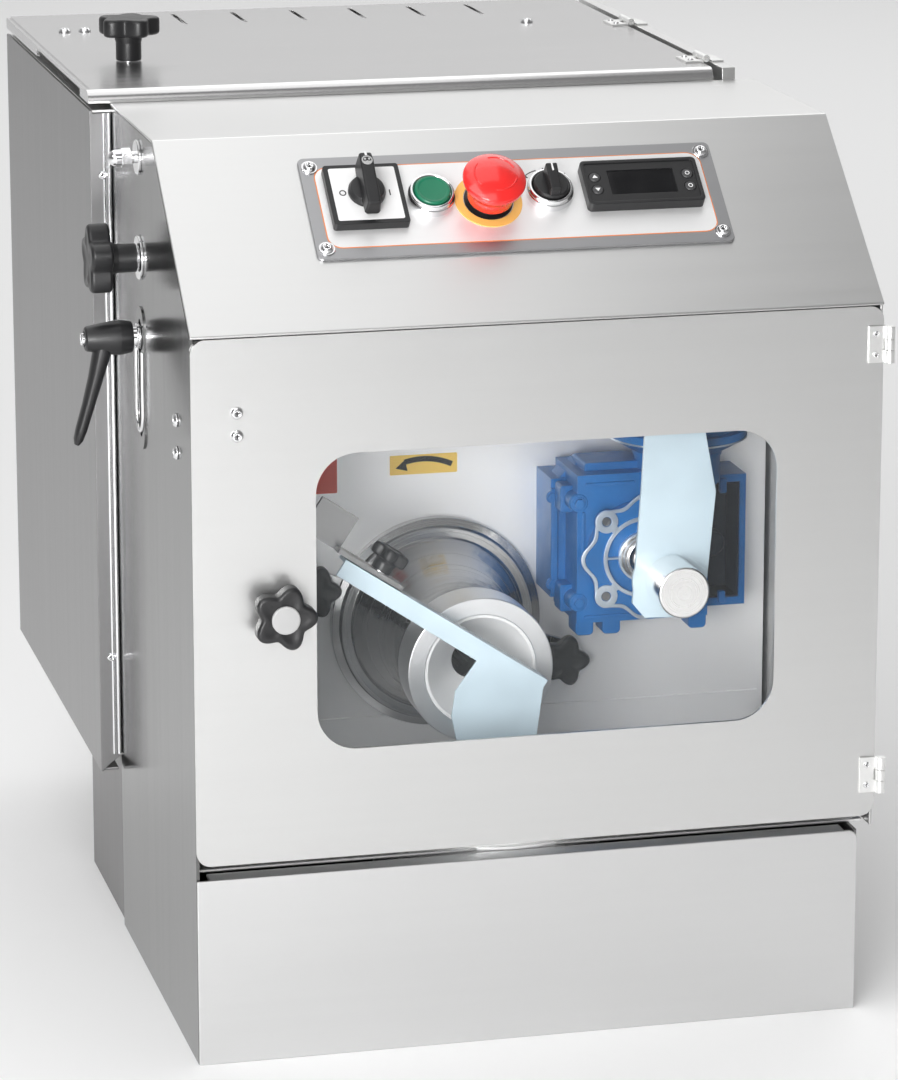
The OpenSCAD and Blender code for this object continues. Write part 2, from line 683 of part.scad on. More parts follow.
module lid_hinge_leaves() color("whitesmoke") placed() for (y = lid_hinge_y) lid_leaf(y);

module lid_studs() color("silver") placed() {
    for (p = [[14, 534], [28, 534], [338, 505]]) at(p[0], p[1], lid_z0 + lid_h) dome_screw(4.5);
    for (y = lid_hinge_y, dy = [-7, 7]) at(lid_axis_x - 9.5, y + dy, lid_z0 + lid_h + 1.3) dome_screw(2);
}

module lid_knob() color("black") placed() at(34, 391, lid_z0 + lid_h + gap) lobe_knob(21, 12, 8.5, 17);

/* ---------- controls ---------- */

module control_plate() color("gainsboro") placed() on_slope(86, 52.5) linear_extrude(sheet)
    round_rect(plate_w, plate_l, 4);

module switch_frame() color("black") placed() on_slope(122.5 - switch_w/2, 97.5 - switch_w/2) difference() {
    translate([0, 0, sheet]) linear_extrude(6) round_rect(switch_w, switch_w, 2);
    translate([switch_w/2, switch_w/2, sheet]) cylinder(r = 3 + run, h = 8);
}

module switch_handle() color("black") placed() on_slope(122.5, 97.5) {
    translate([0, 0, sheet + 1]) cylinder(r = 3, h = 10);
    translate([0, 0, sheet + 6 + gap]) cylinder(r = 11.5, h = 7);
    translate([-5.5, -19, sheet + 10]) cube([11, 38, 14]);
}

module bezel(x) on_slope(x, 96) translate([0, 0, sheet]) difference() {
    union() {
        cylinder(r = bezel_r, h = 6);
        translate([0, 0, 6]) cylinder(r1 = bezel_r, r2 = bezel_r - 1.5, h = 2);
    }
    translate([0, 0, 1]) cylinder(r = 11.3, h = 8);
}

module button_bezels() color("silver") placed() {
    bezel(163);
    bezel(237.5);
}

module start_button() color("seagreen") placed() on_slope(163, 96)
    translate([0, 0, sheet + 5.2]) cylinder(r = 11, h = 4);

module selector_knob() color("black") placed() on_slope(237.5, 96) {
    translate([0, 0, sheet + 1 + gap]) cylinder(r = 11, h = 9);
    translate([-3.5, -10, sheet + 9]) cube([7, 20, 10]);
}

module estop_base() color("orange") placed() on_slope(198.5, 92) translate([0, 0, sheet]) difference() {
    union() {
        cylinder(r = 21, h = 1);
        cylinder(r = 15.5, h = 9);
    }
    translate([0, 0, 1]) cylinder(r = 12 + gap, h = 9);
}

module estop_head() color("red") placed() on_slope(198.5, 92) translate([0, 0, sheet + 6]) {
    cylinder(r = 12, h = 10);
    translate([0, 0, 8]) cylinder(r1 = 15, r2 = mushroom_r, h = 6);
    translate([0, 0, 14]) cylinder(r = mushroom_r, h = 3);
    translate([0, 0, 17]) intersection() {
        translate([0, 0, -26]) sphere(r = 32.5);
        cylinder(r = mushroom_r, h = 8);
    }
}

key_places = [[7.5, 22], [7.5, 12], [66.5, 22], [66.5, 12]];

module controller_housing() color("black") placed() on_slope(259, 80) difference() {
    translate([0, 0, sheet]) linear_extrude(6.5) round_rect(74, 35, 3);
    translate([16, 8, sheet + 5.5]) cube([42, 19, 3]);
    for (p = key_places) translate([p[0], p[1], sheet + 4]) cylinder(r = 3.8, h = 4);
}

module key(k) on_slope(259, 80) translate([key_places[k][0], key_places[k][1], sheet + 5])
    cylinder(r = 3.5, h = 2.2);

module key_up() color("gray") placed() key(0);
module key_down() color("gray") placed() key(1);
module key_mode() color("gray") placed() key(2);
module key_set() color("gray") placed() key(3);

base_tray();
lower_front_panel();
deck_plate();
compartment_pan();
left_side_panel();
right_side_panel();
front_fascia();
bulkhead();
left_rear_cover();
rear_casing();
hopper_rim();
hopper();
nozzle_body();
nozzle_ring();
nozzle_insert();
gearbox_housing();
gearbox_cover();
knife_motor();
main_motor();
drive_belt();
rear_bearing();
cable_gland();
casing_fasteners();
control_plate();
switch_frame();
button_bezels();
estop_base();
controller_housing();
fixed_hinge_leaves();
door_panel();
door_window();
door_hinge_leaves();
door_screws();
door_knob();
lid_panel();
lid_hinge_leaves();
lid_studs();
lid_knob();
knife_blade();
knife_boss();
knife_shaft();
worm_shaft();
auger_screw();
auger_pulley();
motor_pulley();
flap_bracket();
portion_flap();
flap_knob();
clamp_lever();
side_knob();
left_nozzle_knob();
right_nozzle_knob();
switch_handle();
start_button();
estop_head();
selector_knob();
key_up();
key_down();
key_mode();
key_set();
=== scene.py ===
"""Looks of a bench-top dough portioner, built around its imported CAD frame.

Lengths are in millimetres until a mesh is placed, and local shapes point along +Z.
"""
import json
import math

import bmesh
import bpy
from mathutils import Matrix, Vector


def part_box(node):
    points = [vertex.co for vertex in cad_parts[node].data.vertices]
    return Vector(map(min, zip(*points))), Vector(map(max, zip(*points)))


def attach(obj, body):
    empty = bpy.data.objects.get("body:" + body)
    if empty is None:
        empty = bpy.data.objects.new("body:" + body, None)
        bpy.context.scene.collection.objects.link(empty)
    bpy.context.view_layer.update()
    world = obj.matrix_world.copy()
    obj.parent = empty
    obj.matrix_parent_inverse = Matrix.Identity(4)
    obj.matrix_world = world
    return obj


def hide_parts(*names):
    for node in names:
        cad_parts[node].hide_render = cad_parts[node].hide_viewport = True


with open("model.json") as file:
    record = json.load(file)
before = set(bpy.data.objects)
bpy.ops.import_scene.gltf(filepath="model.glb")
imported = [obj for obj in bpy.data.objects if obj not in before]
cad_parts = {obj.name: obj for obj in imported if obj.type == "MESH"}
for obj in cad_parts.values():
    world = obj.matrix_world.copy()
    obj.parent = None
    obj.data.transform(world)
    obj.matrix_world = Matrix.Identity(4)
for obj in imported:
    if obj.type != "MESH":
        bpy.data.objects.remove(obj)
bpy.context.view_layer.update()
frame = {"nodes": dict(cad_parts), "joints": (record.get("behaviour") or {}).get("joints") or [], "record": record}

MM = 0.001
NODES = frame["nodes"]
JOINTS = {joint["name"]: joint for joint in frame["joints"]}
RECORD = frame["record"]
SLOT_OF = {part["node"]: part["material_slot"] for part in RECORD["subparts"]}
BODY_OF = {n: body for body, members in RECORD["behaviour"]["bodies"].items() for n in members}
X, Y, Z = Vector((1, 0, 0)), Vector((0, 1, 0)), Vector((0, 0, 1))


# ---------- materials ----------

class Look:
    """A Principled material and short calls for the nodes that feed it."""

    def __init__(self, name, colour, roughness, **sockets):
        self.material = bpy.data.materials.new(name)
        self.material.use_nodes = True
        self.tree = self.material.node_tree
        self.shader = self.tree.nodes["Principled BSDF"]
        self.shader.inputs["Base Color"].default_value = (*colour, 1)
        self.shader.inputs["Roughness"].default_value = roughness
        for socket, value in sockets.items():
            self.shader.inputs[socket.replace("_", " ")].default_value = value
        self.colour, self.roughness = colour, roughness

    def add(self, kind, inputs=(), **settings):
        made = self.tree.nodes.new(kind)
        for key, value in settings.items():
            setattr(made, key, value)
        for key, value in dict(inputs).items():
            if isinstance(value, bpy.types.NodeSocket):
                self.tree.links.new(value, made.inputs[key])
            else:
                made.inputs[key].default_value = value
        return made

    def place(self, scale=(1, 1, 1)):
        """Object coordinates, in metres, times scale."""
        coords = self.add("ShaderNodeTexCoord").outputs["Object"]
        return self.add("ShaderNodeMapping", {"Vector": coords, "Scale": scale}).outputs["Vector"]

    def noise(self, vector, scale, detail=2.0):
        inputs = {"Vector": vector, "Scale": scale, "Detail": detail}
        return self.add("ShaderNodeTexNoise", inputs).outputs["Fac"]

    def spread(self, value, low, high):
        """value, which lies around 0.5, mapped to low and high."""
        inputs = {"Value": value, "From Min": 0.25, "From Max": 0.75, "To Min": low, "To Max": high}
        return self.add("ShaderNodeMapRange", inputs).outputs["Result"]

    def rough(self, value, reach):
        mapped = self.spread(value, max(self.roughness - reach, 0.02), self.roughness + reach)
        self.tree.links.new(mapped, self.shader.inputs["Roughness"])

    def tint(self, value, low, high):
        """Base colour times a factor between low and high."""
        shades = [tuple(min(c * k, 1) for c in self.colour) + (1,) for k in (low, high)]
        mix = self.add("ShaderNodeMix", data_type="RGBA")
        self.tree.links.new(self.spread(value, 0, 1), mix.inputs["Factor"])
        mix.inputs[6].default_value, mix.inputs[7].default_value = shades
        self.tree.links.new(mix.outputs[2], self.shader.inputs["Base Color"])

    def bump(self, value, strength, distance):
        inputs = {"Height": value, "Strength": strength, "Distance": distance}
        bump = self.add("ShaderNodeBump", inputs)
        self.tree.links.new(bump.outputs["Normal"], self.shader.inputs["Normal"])


def brushed(name, colour, roughness, grain="X", depth=0.03, metallic=1.0):
    """Satin sheet: fine lines along the grain, and faint clouds as wide as a hand."""
    look = Look(name, colour, roughness, Metallic=metallic)
    lines = tuple(9 if axis == grain else 1100 for axis in "XYZ")
    broad = tuple(3 if axis == grain else 130 for axis in "XYZ")
    fine = look.noise(look.place(lines), 1.0)
    streaks = look.noise(look.place(broad), 1.0)
    clouds = look.noise(look.place(), 5.0)
    both = look.add("ShaderNodeMath", {0: fine, 1: streaks}, operation="ADD").outputs[0]
    half = look.add("ShaderNodeMath", {0: both, 1: 0.5}, operation="MULTIPLY").outputs[0]
    look.rough(half, 0.03)
    mixed = look.add("ShaderNodeMath", {0: streaks, 1: clouds}, operation="ADD").outputs[0]
    shade = look.add("ShaderNodeMath", {0: mixed, 1: 0.5}, operation="MULTIPLY").outputs[0]
    look.tint(shade, 0.98, 1.012)
    look.bump(fine, depth, 0.0003)
    return look.material


def turned(name, colour, roughness, centre, axis=Y):
    """Lathe-turned metal: rings round an axis through centre."""
    look = Look(name, colour, roughness, Metallic=1.0)
    coords = look.add("ShaderNodeTexCoord").outputs["Object"]
    minus = look.add("ShaderNodeVectorMath", {0: coords, 1: centre}, operation="SUBTRACT")
    flat = tuple(0.0 if abs(a) > 0.5 else 1.0 for a in axis)
    in_plane = look.add("ShaderNodeVectorMath", {0: minus.outputs[0], 1: flat}, operation="MULTIPLY")
    radius = look.add("ShaderNodeVectorMath", {0: in_plane.outputs[0]}, operation="LENGTH")
    inputs = {"W": radius.outputs["Value"], "Scale": 1600.0, "Detail": 1.0}
    rings = look.add("ShaderNodeTexNoise", inputs, noise_dimensions="1D").outputs["Fac"]
    look.rough(rings, 0.08)
    look.bump(rings, 0.12, 0.0002)
    look.tint(look.noise(coords, 20.0), 0.94, 1.02)
    return look.material


def moulded(name, colour, roughness, grain=900.0, depth=0.08, **sockets):
    """Moulded or cast surface: a fine grain with slight changes of gloss."""
    look = Look(name, colour, roughness, **sockets)
    look.rough(look.noise(look.place(), 60.0), 0.05)
    look.bump(look.noise(look.place(), grain), depth, 0.0002)
    look.tint(look.noise(look.place(), 35.0), 0.93, 1.05)
    return look.material


def painted(name, colour, roughness):
    """Sprayed paint on a rough casting."""
    look = Look(name, colour, roughness, Coat_Weight=0.2, Coat_Roughness=0.25)
    look.rough(look.noise(look.place(), 90.0), 0.08)
    lumps = look.noise(look.place(), 330.0, 4.0)
    look.bump(lumps, 0.22, 0.0006)
    look.tint(look.noise(look.place(), 28.0, 4.0), 0.78, 1.12)
    return look.material


def mid(node):
    low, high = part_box(node)
    return (low + high) / 2


LOOKS = {
    "casing_steel": brushed("casing_steel", (0.76, 0.76, 0.755), 0.36),
    "door_steel": brushed("door_steel", (0.67, 0.67, 0.666), 0.36),
    # a darkened copy of the casing steel: painted shade on the left rear cover's side
    "casing_steel_side_painted_shade": brushed("casing_steel_side_painted_shade", (0.27, 0.268, 0.27), 0.34, "Z", metallic=0.75),
    "casing_steel_far": brushed("casing_steel_far", (0.52, 0.52, 0.518), 0.34, "Z", metallic=0.85),
    "skirt_steel": brushed("skirt_steel", (0.68, 0.68, 0.68), 0.42),
    # a near-black copy of the steel: painted shade on the base tray under the cover's overhang
    "tray_steel_painted_shade": brushed("tray_steel_painted_shade", (0.185, 0.18, 0.182), 0.34, "Z", metallic=0.8),
    "lid_steel": brushed("lid_steel", (0.76, 0.755, 0.757), 0.24, depth=0.01),
    # glossy steel darkened almost to black: painted shade on the left side panel
    "polished_steel": brushed("polished_steel", (0.17, 0.17, 0.17), 0.19, "Z", 0.01),
    # steel lightened to near white and made mostly diffuse: painted light inside the compartment and the hopper
    "inner_steel": brushed("inner_steel", (0.96, 0.96, 0.955), 0.33, depth=0.01, metallic=0.30),
    "plate_steel": brushed("plate_steel", (0.42, 0.42, 0.43), 0.38),
    "dark_steel": brushed("dark_steel", (0.30, 0.30, 0.30), 0.34),
    "turned_steel": turned("turned_steel", (0.93, 0.92, 0.91), 0.24, mid("knife_boss")),
    "nozzle_steel": turned("nozzle_steel", (0.60, 0.60, 0.60), 0.20, mid("nozzle_ring")),
    "hinge_steel": brushed("hinge_steel", (0.90, 0.90, 0.89), 0.36, "Z"),
    "filmed_steel": moulded("filmed_steel", (0.62, 0.76, 0.84), 0.34, 240.0, 0.05, Coat_Weight=0.35),
    "aluminium": turned("aluminium", (0.95, 0.96, 0.97), 0.38, mid("nozzle_ring")),
    "chrome": brushed("chrome", (0.83, 0.83, 0.84), 0.10, "Z", 0.01),
    "cast_iron": moulded("cast_iron", (0.10, 0.10, 0.105), 0.5, 260.0, 0.3, Metallic=0.6),
    "blue_paint": painted("blue_paint", (0.004, 0.15, 0.45), 0.40),
    # near-black blue: painted shade inside the gearbox's side pocket
    "pocket_painted_shade": moulded("pocket_painted_shade", (0.008, 0.016, 0.035), 0.42, 300.0, 0.2),
    "sticker_yellow": moulded("sticker_yellow", (1.0, 0.66, 0.14), 0.45),
    "sticker_red": moulded("sticker_red", (0.88, 0.09, 0.05), 0.45),
    "blue_machined": moulded("blue_machined", (0.72, 0.80, 0.88), 0.34, 500.0, 0.1, Metallic=0.8),
    "black_plastic": moulded("black_plastic", (0.014, 0.014, 0.015), 0.36),
    "black_gloss": moulded("black_gloss", (0.006, 0.006, 0.007), 0.10, 300.0, 0.02),
    "grey_plastic": moulded("grey_plastic", (0.42, 0.42, 0.42), 0.42),
    "white_plastic": moulded("white_plastic", (0.82, 0.82, 0.82), 0.34),
    "green_plastic": moulded("green_plastic", (0.006, 0.17, 0.085), 0.34),
    "red_plastic": moulded("red_plastic", (0.78, 0.022, 0.020), 0.24, 500.0, 0.03, Coat_Weight=0.5),
    "yellow_plastic": moulded("yellow_plastic", (0.86, 0.50, 0.12), 0.45),
    "orange_ink": moulded("orange_ink", (0.75, 0.24, 0.08), 0.5),
    "rubber": moulded("rubber", (0.02, 0.02, 0.02), 0.7),
    "field_steel": brushed("field_steel", (0.88, 0.88, 0.88), 0.45, depth=0.02, metallic=0.6),
    "key_plastic": moulded("key_plastic", (0.05, 0.05, 0.052), 0.4),
    "clear_acrylic": Look("clear_acrylic", (0.75, 0.80, 0.83), 0.03, Alpha=0.018, IOR=1.49).material,
}


# ---------- mesh helpers ----------

def basis(origin, z_axis, x_axis=X):
    """Matrix of a local frame at origin, whose Z points along z_axis and X roughly along x_axis."""
    z = Vector(z_axis).normalized()
    x = (Vector(x_axis) - z * Vector(x_axis).dot(z)).normalized()
    y = z.cross(x)
    rotation = Matrix((x, y, z)).transposed().to_4x4()
    return Matrix.Translation(origin) @ rotation


def piece(name, bm, place, look, body, replaces=(), bevel=0.0, segments=2, limit=35, smooth=True):
    """Turns a local bmesh in mm into a finished object in the row frame."""
    bmesh.ops.recalc_face_normals(bm, faces=bm.faces)
    mesh = bpy.data.meshes.new(name)
    bm.to_mesh(mesh)
    bm.free()
    mesh.transform(place @ Matrix.Scale(MM, 4))
    return dress(name, mesh, look, body, replaces, bevel, segments, limit, smooth)


def dress(name, mesh, look, body, replaces=(), bevel=0.0, segments=2, limit=35, smooth=True):
    mesh.materials.clear()
    mesh.materials.append(LOOKS[look])
    mesh.polygons.foreach_set("use_smooth", [smooth] * len(mesh.polygons))
    mesh.set_sharp_from_angle(angle=math.radians(limit))
    obj = bpy.data.objects.new(name, mesh)
    bpy.context.scene.collection.objects.link(obj)
    if bevel:
        edges = obj.modifiers.new("edges", "BEVEL")
        edges.width = bevel * MM
        edges.segments = segments
        edges.limit_method = "ANGLE"
        edges.angle_limit = math.radians(limit)
        edges.harden_normals = False
        normals = obj.modifiers.new("normals", "WEIGHTED_NORMAL")
        normals.keep_sharp = False
        normals.weight = 80
    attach(obj, body)
    if replaces:
        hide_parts(*replaces)
    return obj


def formed(node, look=None, bevel=0.5, segments=2, limit=32):
    """A copy of a CAD node with its flat faces joined and its edges rounded."""
    mesh = NODES[node].data.copy()
    bm = bmesh.new()
    bm.from_mesh(mesh)
    bmesh.ops.remove_doubles(bm, verts=bm.verts, dist=2e-6)
    bmesh.ops.dissolve_limit(bm, angle_limit=math.radians(0.6), verts=bm.verts, edges=bm.edges)
    bm.to_mesh(mesh)
    bm.free()
    name = node + "_formed"
    mesh.name = name
    look = look or SLOT_OF[node]
    return dress(name, mesh, look, BODY_OF[node], (node,), bevel, segments, limit)


def fillet(points, radius, steps=4, closed=True):
    """The polyline's corners rounded by arcs of at most the given radius."""
    result = []
    count = len(points)
    for i, point in enumerate(points):
        here = Vector(point)
        if not closed and i in (0, count - 1):
            result.append(here)
            continue
        before, after = Vector(points[i - 1]), Vector(points[(i + 1) % count])
        a, b = before - here, after - here
        angle = a.angle(b, math.pi)
        if angle > math.radians(172):
            result.append(here)
            continue
        setback = min(radius / math.tan(angle / 2), a.length * 0.45, b.length * 0.45)
        arc_r = setback * math.tan(angle / 2)
        a, b = a.normalized(), b.normalized()
        middle = here + (a + b).normalized() * (arc_r / math.sin(angle / 2))
        start, end = here + a * setback - middle, here + b * setback - middle
        turn = start.angle(end)
        for k in range(steps + 1):
            t = k / steps
            mix = (start * math.sin((1 - t) * turn) + end * math.sin(t * turn)) / math.sin(turn)
            result.append(middle + mix)
    return result


def lathe(profile, steps=96, rounding=0.0, turn=360):
    """Revolves (radius, height) points round Z."""
    if rounding:
        profile = fillet(profile, rounding, closed=False)
    bm = bmesh.new()
    rings = []
    whole = turn == 360
    count = steps if whole else steps + 1
    for radius, height in profile:
        if radius < 1e-6:
            rings.append([bm.verts.new((0, 0, height))])
            continue
        angles = [math.radians(turn) * k / steps for k in range(count)]
        rings.append([bm.verts.new((radius * math.cos(a), radius * math.sin(a), height)) for a in angles])
    for low, high in zip(rings, rings[1:]):
        for k in range(steps):
            n = (k + 1) % count
            corners = {low[k % len(low)]: 0, low[n % len(low)]: 0, high[n % len(high)]: 0, high[k % len(high)]: 0}
            if len(corners) > 2:
                bm.faces.new(list(corners))
    return bm


def loft(loops, cap=True, closed=False):
    """Skins a list of equal-length loops of 3-D points."""
    bm = bmesh.new()
    rings = [[bm.verts.new(p) for p in loop] for loop in loops]
    pairs = list(zip(rings, rings[1:])) + ([(rings[-1], rings[0])] if closed else [])
    for low, high in pairs:
        count = len(low)
        for k in range(count):
            n = (k + 1) % count
            bm.faces.new((low[k], low[n], high[n], high[k]))
    if cap and not closed:
        bm.faces.new(list(reversed(rings[0])))
        bm.faces.new(rings[-1])
    return bm


def prism(outline, z0, z1, holes=()):
    """A closed outline extruded from z0 to z1, with round or free-form holes."""
    bm = bmesh.new()
    for loop in (outline, *holes):
        verts = [bm.verts.new((p[0], p[1], z0)) for p in loop]
        for a, b in zip(verts, verts[1:] + verts[:1]):
            bm.edges.new((a, b))
    if holes:
        bmesh.ops.triangle_fill(bm, use_beauty=True, use_dissolve=False, edges=bm.edges)
    else:
        bm.faces.new(list(bm.verts))
    grown = bmesh.ops.extrude_face_region(bm, geom=list(bm.faces))
    lifted = [v for v in grown["geom"] if isinstance(v, bmesh.types.BMVert)]
    bmesh.ops.translate(bm, verts=lifted, vec=(0, 0, z1 - z0))
    return bm


def join(*parts):
    """One bmesh from several (bmesh, matrix) pairs or bmeshes."""
    whole = bmesh.new()
    for part in parts:
        bm, matrix = part if isinstance(part, tuple) else (part, Matrix.Identity(4))
        mesh = bpy.data.meshes.new("part")
        bmesh.ops.recalc_face_normals(bm, faces=bm.faces)
        bm.to_mesh(mesh)
        bm.free()
        mesh.transform(matrix)
        whole.from_mesh(mesh)
        bpy.data.meshes.remove(mesh)
    return whole


def circle(radius, count=64, centre=(0, 0), start=0.0):
    return [(centre[0] + radius * math.cos(start + math.tau * k / count),
             centre[1] + radius * math.sin(start + math.tau * k / count)) for k in range(count)]


def rectangle(x0, y0, x1, y1, radius=0.0, steps=6):
    corners = [(x0, y0), (x1, y0), (x1, y1), (x0, y1)]
    return [tuple(p) for p in fillet(corners, radius, steps)] if radius else corners


def tube(points, radius, closed=False, sides=12):
    """A round wire along 3-D points in mm."""
    points = [Vector(p) for p in points]
    loops = []
    count = len(points)
    up = None
    for i, p in enumerate(points):
        before = points[i - 1] if closed or i else p
        after = points[(i + 1) % count] if closed or i < count - 1 else p
        tangent = (after - before).normalized()
        if up is None:
            up = tangent.orthogonal().normalized()
        up = (up - tangent * up.dot(tangent)).normalized()
        side = tangent.cross(up)
        ring = [p + (up * math.cos(math.tau * k / sides) + side * math.sin(math.tau * k / sides)) * radius
                for k in range(sides)]
        loops.append(ring)
    return loft(loops, closed=closed)


def shift(x=0, y=0, z=0):
    return Matrix.Translation((x, y, z))


def turn(degrees, axis="Z"):
    return Matrix.Rotation(math.radians(degrees), 4, axis)


# ---------- folded sheet and other plain metal ----------

SHEETS = {
    "base_tray": ("tray_steel_painted_shade", 0.6),
    "lower_front_panel": ("skirt_steel", 0.8),
    "deck_plate": ("casing_steel", 0.6),
    "compartment_pan": ("inner_steel", 0.5),
    "left_side_panel": ("polished_steel", 0.8),
    "right_side_panel": ("casing_steel_far", 0.8),
    "front_fascia": ("casing_steel", 0.9),
    "bulkhead": ("inner_steel", 0.5),
    "left_rear_cover": ("casing_steel_side_painted_shade", 0.8),
    "rear_casing": ("casing_steel_far", 0.8),
    "hopper_rim": ("casing_steel", 0.6),
    "hopper": ("inner_steel", 0.5),
    "rear_bearing": ("cast_iron", 1.0),
    "knife_shaft": ("turned_steel", 0.4),
    "worm_shaft": ("dark_steel", 0.4),
    "auger_screw": ("turned_steel", 0.0),
    "auger_pulley": ("cast_iron", 0.5),
    "motor_pulley": ("cast_iron", 0.5),
    "drive_belt": ("rubber", 0.3),
    "main_motor": ("blue_paint", 0.8),
    "cable_gland": ("black_plastic", 0.5),
    "fixed_hinge_leaves": ("hinge_steel", 0.25),
    "door_hinge_leaves": ("hinge_steel", 0.25),
    "lid_hinge_leaves": ("hinge_steel", 0.25),
    "door_panel": ("door_steel", 0.8),
    "lid_panel": ("lid_steel", 1.4),
    "flap_bracket": ("dark_steel", 0.4),
    "switch_frame": ("black_plastic", 1.2),
    "control_plate": ("plate_steel", 0.5),
    "door_window": ("clear_acrylic", 0.5),
    "nozzle_body": ("nozzle_steel", 0.4),
    "nozzle_ring": ("aluminium", 0.7),
    "nozzle_insert": ("white_plastic", 0.3),
    "knife_motor": ("blue_paint", 1.0),
    "knife_blade": ("filmed_steel", 0.6),
    "knife_boss": ("turned_steel", 1.2),
    "portion_flap": ("filmed_steel", 0.3),
}


def make_sheets():
    for node, (look, bevel) in SHEETS.items():
        formed(node, look, bevel)


make_sheets()


# ---------- knobs and levers ----------

def reach(node, axis):
    """Lowest and highest place of a CAD node along axis, in metres."""
    along = [v.co.dot(axis) for v in NODES[node].data.vertices]
    return min(along), max(along)


def outer_end(node, joint, length):
    """Origin and axis of a knob: the point on its axis that lies length before its outer end."""
    axis = Vector(JOINTS[joint]["axis"])
    point = Vector(JOINTS[joint]["pos_m"])
    end = reach(node, axis)[1]
    return point + axis * (end - point.dot(axis) - length * MM), axis


def lobed_loop(radius, inset, height, count=140):
    loop = []
    for k in range(count):
        angle = math.tau * k / count
        lobe = (0.5 + 0.5 * math.cos(5 * angle)) ** 0.85
        r = radius * (0.73 + 0.27 * lobe) - inset
        loop.append((r * math.cos(angle), r * math.sin(angle), height))
    return loop


def lobed_head(radius, low, high, edge):
    """Five-lobed grip with round edges and a shallow dish in its face."""
    arc = [math.radians(15 * k) for k in range(7)]
    under = [(edge * (1 - math.sin(a)), low + edge * (1 - math.cos(a))) for a in arc]
    over = [(edge * (1 - math.cos(a)), high - edge * (1 - math.sin(a))) for a in arc]
    dish = [(edge + radius * 0.12, high - 0.05), (radius * 0.32, high - 0.5), (radius * 0.55, high - 0.7)]
    return loft([lobed_loop(radius, inset, z) for inset, z in under + over + dish])


def make_knob(node, joint, radius, head, neck_r, neck, stud=None, cap=None):
    """Lobed clamping knob on a stepped neck. stud is (radius, length) of its screw."""
    length = neck + head + (cap[1] if cap else 0)
    origin, axis = outer_end(node, joint, length)
    place = basis(origin, axis, Z if abs(axis.dot(X)) > 0.5 else X)
    body = BODY_OF[node]
    grip = lobed_head(radius, neck, neck + head, min(2.6, head * 0.24))
    flare = lathe([(0, 0.4), (neck_r, 0.4), (neck_r, neck * 0.72), (neck_r + 1.6, neck + 1), (0, neck + 1)],
                  48, 0.6)
    piece(node + "_grip", join(grip, flare), place, "black_plastic", body, (node,))
    collar = lathe([(0, 0), (neck_r - 1.5, 0), (neck_r - 1.5, 0.5), (0, 0.5)], 48)
    parts = [collar]
    if stud:
        parts.append(lathe([(0, -stud[1]), (stud[0], -stud[1]), (stud[0], 0.4), (0, 0.4)], 32, 0.5))
    piece(node + "_insert", join(*parts), place, "chrome", body)
    if cap:
        disc = lathe([(0, neck + head - 1), (cap[0], neck + head - 1), (cap[0], length - 0.5),
                      (cap[0] - 0.8, length), (0, length)], 64, 0.3)
        piece(node + "_cap", disc, place, "grey_plastic", body)


def make_knobs():
    make_knob("door_knob", "door_knob_turn", 20, 12, 8, 8, stud=(3, 26), cap=(8.6, 1.4))
    make_knob("side_knob", "side_knob_turn", 22.5, 14, 9, 17, stud=(4, 17))
    make_knob("lid_knob", "lid_knob_turn", 21, 12, 8.5, 17)
    make_knob("left_nozzle_knob", "left_nozzle_knob_turn", 17, 10, 8, 8)
    make_knob("right_nozzle_knob", "right_nozzle_knob_turn", 17, 10, 8, 8)
    make_knob("flap_knob", "flap_knob_turn", 12.5, 8, 6.5, 8, stud=(1.8, 8))


def oval(centre, tangent, half_w, half_t, count=28):
    """Superellipse across tangent, which lies in the local x-z plane, with its width along y."""
    centre, tangent = Vector(centre), Vector(tangent).normalized()
    across = tangent.cross(Y)
    loop = []
    for k in range(count):
        a = math.tau * k / count
        c, s = math.cos(a), math.sin(a)
        w = half_w * math.copysign(abs(c) ** 0.8, c)
        t = half_t * math.copysign(abs(s) ** 0.8, s)
        loop.append(centre + Y * w + across * t)
    return loop


def make_clamp_lever():
    joint = JOINTS["clamp_lever_turn"]
    place = Matrix.Translation(joint["pos_m"])
    body, slot = "clamp_lever", SLOT_OF["clamp_lever"]
    outward = Matrix.Rotation(math.radians(-90), 4, "Y")
    hub = lathe([(0, 6), (9.8, 6), (11, 14), (10.8, 18), (7.8, 35), (6.6, 36), (4.8, 36), (4.8, 33), (0, 33)],
                64, 1.2)
    stations = [(0.00, 7.5, 6.0), (0.12, 7.6, 5.6), (0.35, 6.6, 4.6), (0.62, 5.6, 3.9),
                (0.85, 5.2, 3.6), (0.95, 4.6, 3.0), (1.0, 2.6, 1.6)]
    start, bend, end = Vector((-24, 0, -4)), Vector((-31, 0, -34)), Vector((-42, 0, -67))
    loops = []
    for t, half_w, half_t in stations:
        centre = start * (1 - t) ** 2 + bend * 2 * t * (1 - t) + end * t * t
        tangent = (bend - start) * (1 - t) + (end - bend) * t
        loops.append(oval(centre, tangent, half_w, half_t))
    arm = loft(loops)
    piece("clamp_lever_grip", join((hub, outward), arm), place, "black_plastic", body, ("clamp_lever",))
    washer = lathe([(0, 1.3), (8.5, 1.3), (8.5, 3.2), (7, 3.3), (7, 6.2), (0, 6.2)], 48, 0.3)
    screw = lathe([(0, 32), (4.0, 32), (4.0, 37.6), (3.5, 38.2), (2.2, 38.2), (2.2, 36), (0, 36)], 48, 0.3)
    piece("clamp_lever_screw", join((washer, outward), (screw, outward)), place, "chrome", body)


# ---------- controls on the slope ----------

NORMAL = Vector(JOINTS["selector_turn"]["axis"])
SLOPE_LEVEL = reach("control_plate", NORMAL)[0]
PLATE_TOP = (reach("control_plate", NORMAL)[1] - SLOPE_LEVEL) / MM


